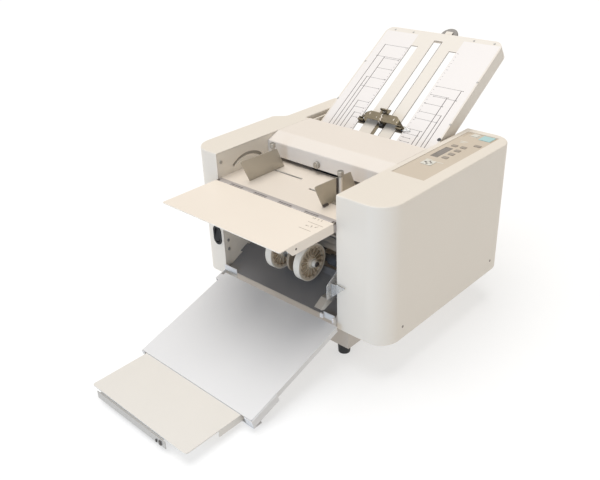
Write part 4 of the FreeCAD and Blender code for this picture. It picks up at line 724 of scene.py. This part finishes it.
# grey plate behind the arc slot of the left frame
arc = {"y": (22, 154), "z": (318, 362), "gap": 0.4, "thick": 0.8}
backing = bmesh.new()
arcX = span("left_frame")[0][0] - arc["gap"]
addBlock(backing, (arcX - arc["thick"], arcX), arc["y"], arc["z"])
finishPiece("arc_backing", backing, "slotBack", "machine")

# small fittings round the delivery ramp: the guard's x is from the left frame
ramp = {"blocksX": ((109.5, 117.5), (141, 145)), "blockY": (-12, -8.2), "blockZ": (106, 116),
        "blockBevel": 0.8,
        "guardX": (15, 44), "guardY": (-9.0, -7.8), "guardZ": (91, 107.4), "guardBevel": 0.4}
block = bmesh.new()
for x in ramp["blocksX"]:
    addBlock(block, x, ramp["blockY"], ramp["blockZ"], bevel=ramp["blockBevel"])
finishPiece("ramp_block", block, "white", "ramp")
guard = bmesh.new()
addBlock(guard, tuple(leftInner + x for x in ramp["guardX"]), ramp["guardY"], ramp["guardZ"],
         bevel=ramp["guardBevel"])
finishPiece("ramp_guard", guard, "zinc", "ramp")

# clips on the end stop: x, width and height
stopper = {"clips": ((61, 6, 9), (51, 3, 6)), "out": (2.0, 0.05), "up": 2, "bevel": 0.5}
_, stopperY, stopperZ = span("stopper_bar")
clipY = tuple(stopperY[0] - out for out in stopper["out"])
clipLow = stopperZ[0] + stopper["up"]
clips = bmesh.new()
for x, wide, high in stopper["clips"]:
    addBlock(clips, (x, x + wide), clipY, (clipLow, clipLow + high), bevel=stopper["bevel"])
finishPiece("stopper_clips", clips, "darkAndShade", "stopper")
print("ramp fittings")

# control panel: frames round the two upper keys, dashes beside the keys, and the four arrows
panel = {"high": 0.1, "frame": ((6, 71), (249, 277)), "frameLine": 0.8,
         "pad": ((16.5, 34.5), (258, 277)), "padLine": 1.5, "padHigh": 0.14,
         "dashes": (((16, 32), (222, 225.5)), ((18, 29), (215, 218)), ((13, 27), (97, 99)),
                    ((40, 56), (93, 95)))}
panelX, panelY, panelZ = span("control_panel")


def panelBar(bm, x, y, height=panel["high"]):
    addBlock(bm, (panelX[0] + x[0], panelX[0] + x[1]), (panelY[0] + y[0], panelY[0] + y[1]),
             (panelZ[1] + inkHigh[0], panelZ[1] + height))


# bars along the edges of a field, which is open at the bottom unless it's closed
def panelFrame(bm, field, line, height=panel["high"], closed=False):
    (x0, x1), (y0, y1) = field
    bars = [((x0, x0 + line), (y0, y1)), ((x1 - line, x1), (y0, y1)), ((x0, x1), (y1 - line, y1))]
    if closed:
        bars.append(((x0, x1), (y0, y0 + line)))
    for x, y in bars:
        panelBar(bm, x, y, height)


frameLines = bmesh.new()
panelFrame(frameLines, panel["frame"], panel["frameLine"])
finishPiece("panel_lines", frameLines, "brownLine", "machine")
pads = bmesh.new()
panelFrame(pads, panel["pad"], panel["padLine"], panel["padHigh"], closed=True)
for x, y in panel["dashes"]:
    panelBar(pads, x, y)
finishPiece("panel_marks", pads, "paleKey", "machine")

arrow = {"reach": 6.6, "corners": ((-3.6, -2.4), (3.6, -2.4), (0, 3.4))}
arrowX, arrowY, arrowZ = span("arrow_key")
arrows = bmesh.new()
for turn in (0, 90, 180, 270):
    spin = at(middle(arrowX), middle(arrowY), 0) @ turnedBy(turn, "Z") @ at(0, arrow["reach"], 0)
    addPrism(arrows, arrow["corners"], *(arrowZ[1] + z for z in inkHigh), spin)
finishPiece("arrow_marks", arrows, "ink", "arrow_key")
print("panel dressed")

# case screws, and rear vents as dark bars whose dark is painted shade of the openings
rightCase, leftCase = span("right_case"), span("left_case")
caseScrews = {"rearX": (rightInner + 14, rightCase[0][1] - 56), "z": (112, 340),
              "rightY": (60, 390), "leftY": (60, 200), "steps": 24}
lowZ = caseScrews["z"][0]
screwPlaces = [at(x, rightCase[1][1], z) @ facingBack
               for z in caseScrews["z"] for x in caseScrews["rearX"]]
screwPlaces += [at(rightCase[0][1], y, lowZ) @ facingRight for y in caseScrews["rightY"]]
screwPlaces += [at(leftCase[0][0], y, lowZ) @ facingLeft for y in caseScrews["leftY"]]
screws = bmesh.new()
for screwPlace in screwPlaces:
    addTurned(screws, screwHead, screwPlace, caseScrews["steps"])
finishPiece("case_screws", screws, "leaf", "machine", smooth=True)

# dark bars stand for the vent openings; their dark is painted shade
ventRow = {"count": 9, "pitch": 9.0, "long": 46, "high": 3.2, "bottom": 210, "inset": 72,
           "out": (0.02, 0.5), "bevel": 0.2}
ventX = rightCase[0][1] - ventRow["inset"]
ventY = tuple(rightCase[1][1] + out for out in ventRow["out"])
vents = bmesh.new()
for i in range(ventRow["count"]):
    z = ventRow["bottom"] + i * ventRow["pitch"]
    addBlock(vents, (ventX - ventRow["long"] / 2, ventX + ventRow["long"] / 2), ventY,
             (z, z + ventRow["high"]), bevel=ventRow["bevel"])
finishPiece("rear_vent_shade", vents, "darkAndShade", "machine")
print("cases dressed")

# floor and world: the floor is a lit sweep, which keeps the shadow pale
stage = {"size": 12, "floor": (0.42, 0.42, 0.42), "glowColour": (1.0, 0.995, 0.985), "glow": 0.56,
         "grain": 40, "mottle": 0.004, "rough": 0.9, "world": 0.46, "tint": (1.0, 0.975, 0.94)}
floorMesh = bpy.data.meshes.new("floor")
floorBm = bmesh.new()
bmesh.ops.create_grid(floorBm, x_segments=1, y_segments=1, size=stage["size"])
floorBm.to_mesh(floorMesh)
floorBm.free()
floor = bpy.data.objects.new("floor", floorMesh)
bpy.context.scene.collection.objects.link(floor)
floorPaint = surface("floorWhite", stage["floor"], stage["rough"], grain=stage["grain"],
                     relief=0.0, mottle=stage["mottle"])
floorNodes = floorPaint.node_tree.nodes
floorShader = next(n for n in floorNodes if n.type == "BSDF_PRINCIPLED")
floorShader.inputs["Emission Color"].default_value = (*stage["glowColour"], 1.0)
floorShader.inputs["Emission Strength"].default_value = stage["glow"]
floor.data.materials.append(floorPaint)

world = bpy.data.worlds.new("studio")
world.use_nodes = True
background = world.node_tree.nodes["Background"]
background.inputs["Color"].default_value = (*stage["tint"], 1.0)
background.inputs["Strength"].default_value = stage["world"]
bpy.context.scene.world = world

# lights: size is the sun's spread in radians, or the side of the area light in metres
lights = {
    "topLight": {"kind": "SUN", "position": (-0.5, -0.15, 3.0), "target": (0, 0, 0.3),
                 "size": math.radians(50), "power": 2.1, "colour": (1.0, 0.99, 0.975)},
    "frontLight": {"kind": "AREA", "position": (0.25, -1.95, 0.5), "target": (0.1, -0.1, 0.28),
                   "size": 0.8, "power": 10.5, "colour": (0.42, 0.66, 1.0)},
}


def addLight(name, kind, position, target, size, power, colour):
    data = bpy.data.lights.new(name, kind)
    if kind == "AREA":
        data.shape = "SQUARE"
        data.size = size
    else:
        data.angle = size
    data.energy = power
    data.color = colour
    light = bpy.data.objects.new(name, data)
    light.location = position
    aim = Vector(target) - Vector(position)
    light.rotation_euler = aim.to_track_quat("-Z", "Y").to_euler()
    bpy.context.scene.collection.objects.link(light)


for name, settings in lights.items():
    addLight(name, **settings)

# camera: its place is in mm from the case fronts, its angles in degrees
view = {"place": (906.68, -892.54, 919.05), "azimuth": 43.77, "elevation": 28.21, "roll": -2.16,
        "lens": 42.911, "sensor": 36}
camera = bpy.data.objects.new("camera", bpy.data.cameras.new("camera"))
bpy.context.scene.collection.objects.link(camera)
azimuth, elevation, roll = (math.radians(view[k]) for k in ("azimuth", "elevation", "roll"))
back = Vector((math.sin(azimuth) * math.cos(elevation), -math.cos(azimuth) * math.cos(elevation),
               math.sin(elevation)))
level = (-back).cross(Vector((0, 0, 1))).normalized()
upright = level.cross(-back)
rightward = level * math.cos(roll) + upright * math.sin(roll)
upward = upright * math.cos(roll) - level * math.sin(roll)
turned = Matrix((rightward, upward, back)).transposed().to_4x4()
camera.matrix_world = Matrix.Translation(place(*view["place"])) @ turned
camera.data.lens = view["lens"]
camera.data.sensor_width = view["sensor"]
bpy.context.scene.camera = camera
bpy.context.scene.view_settings.view_transform = "Standard"
print("stage set")
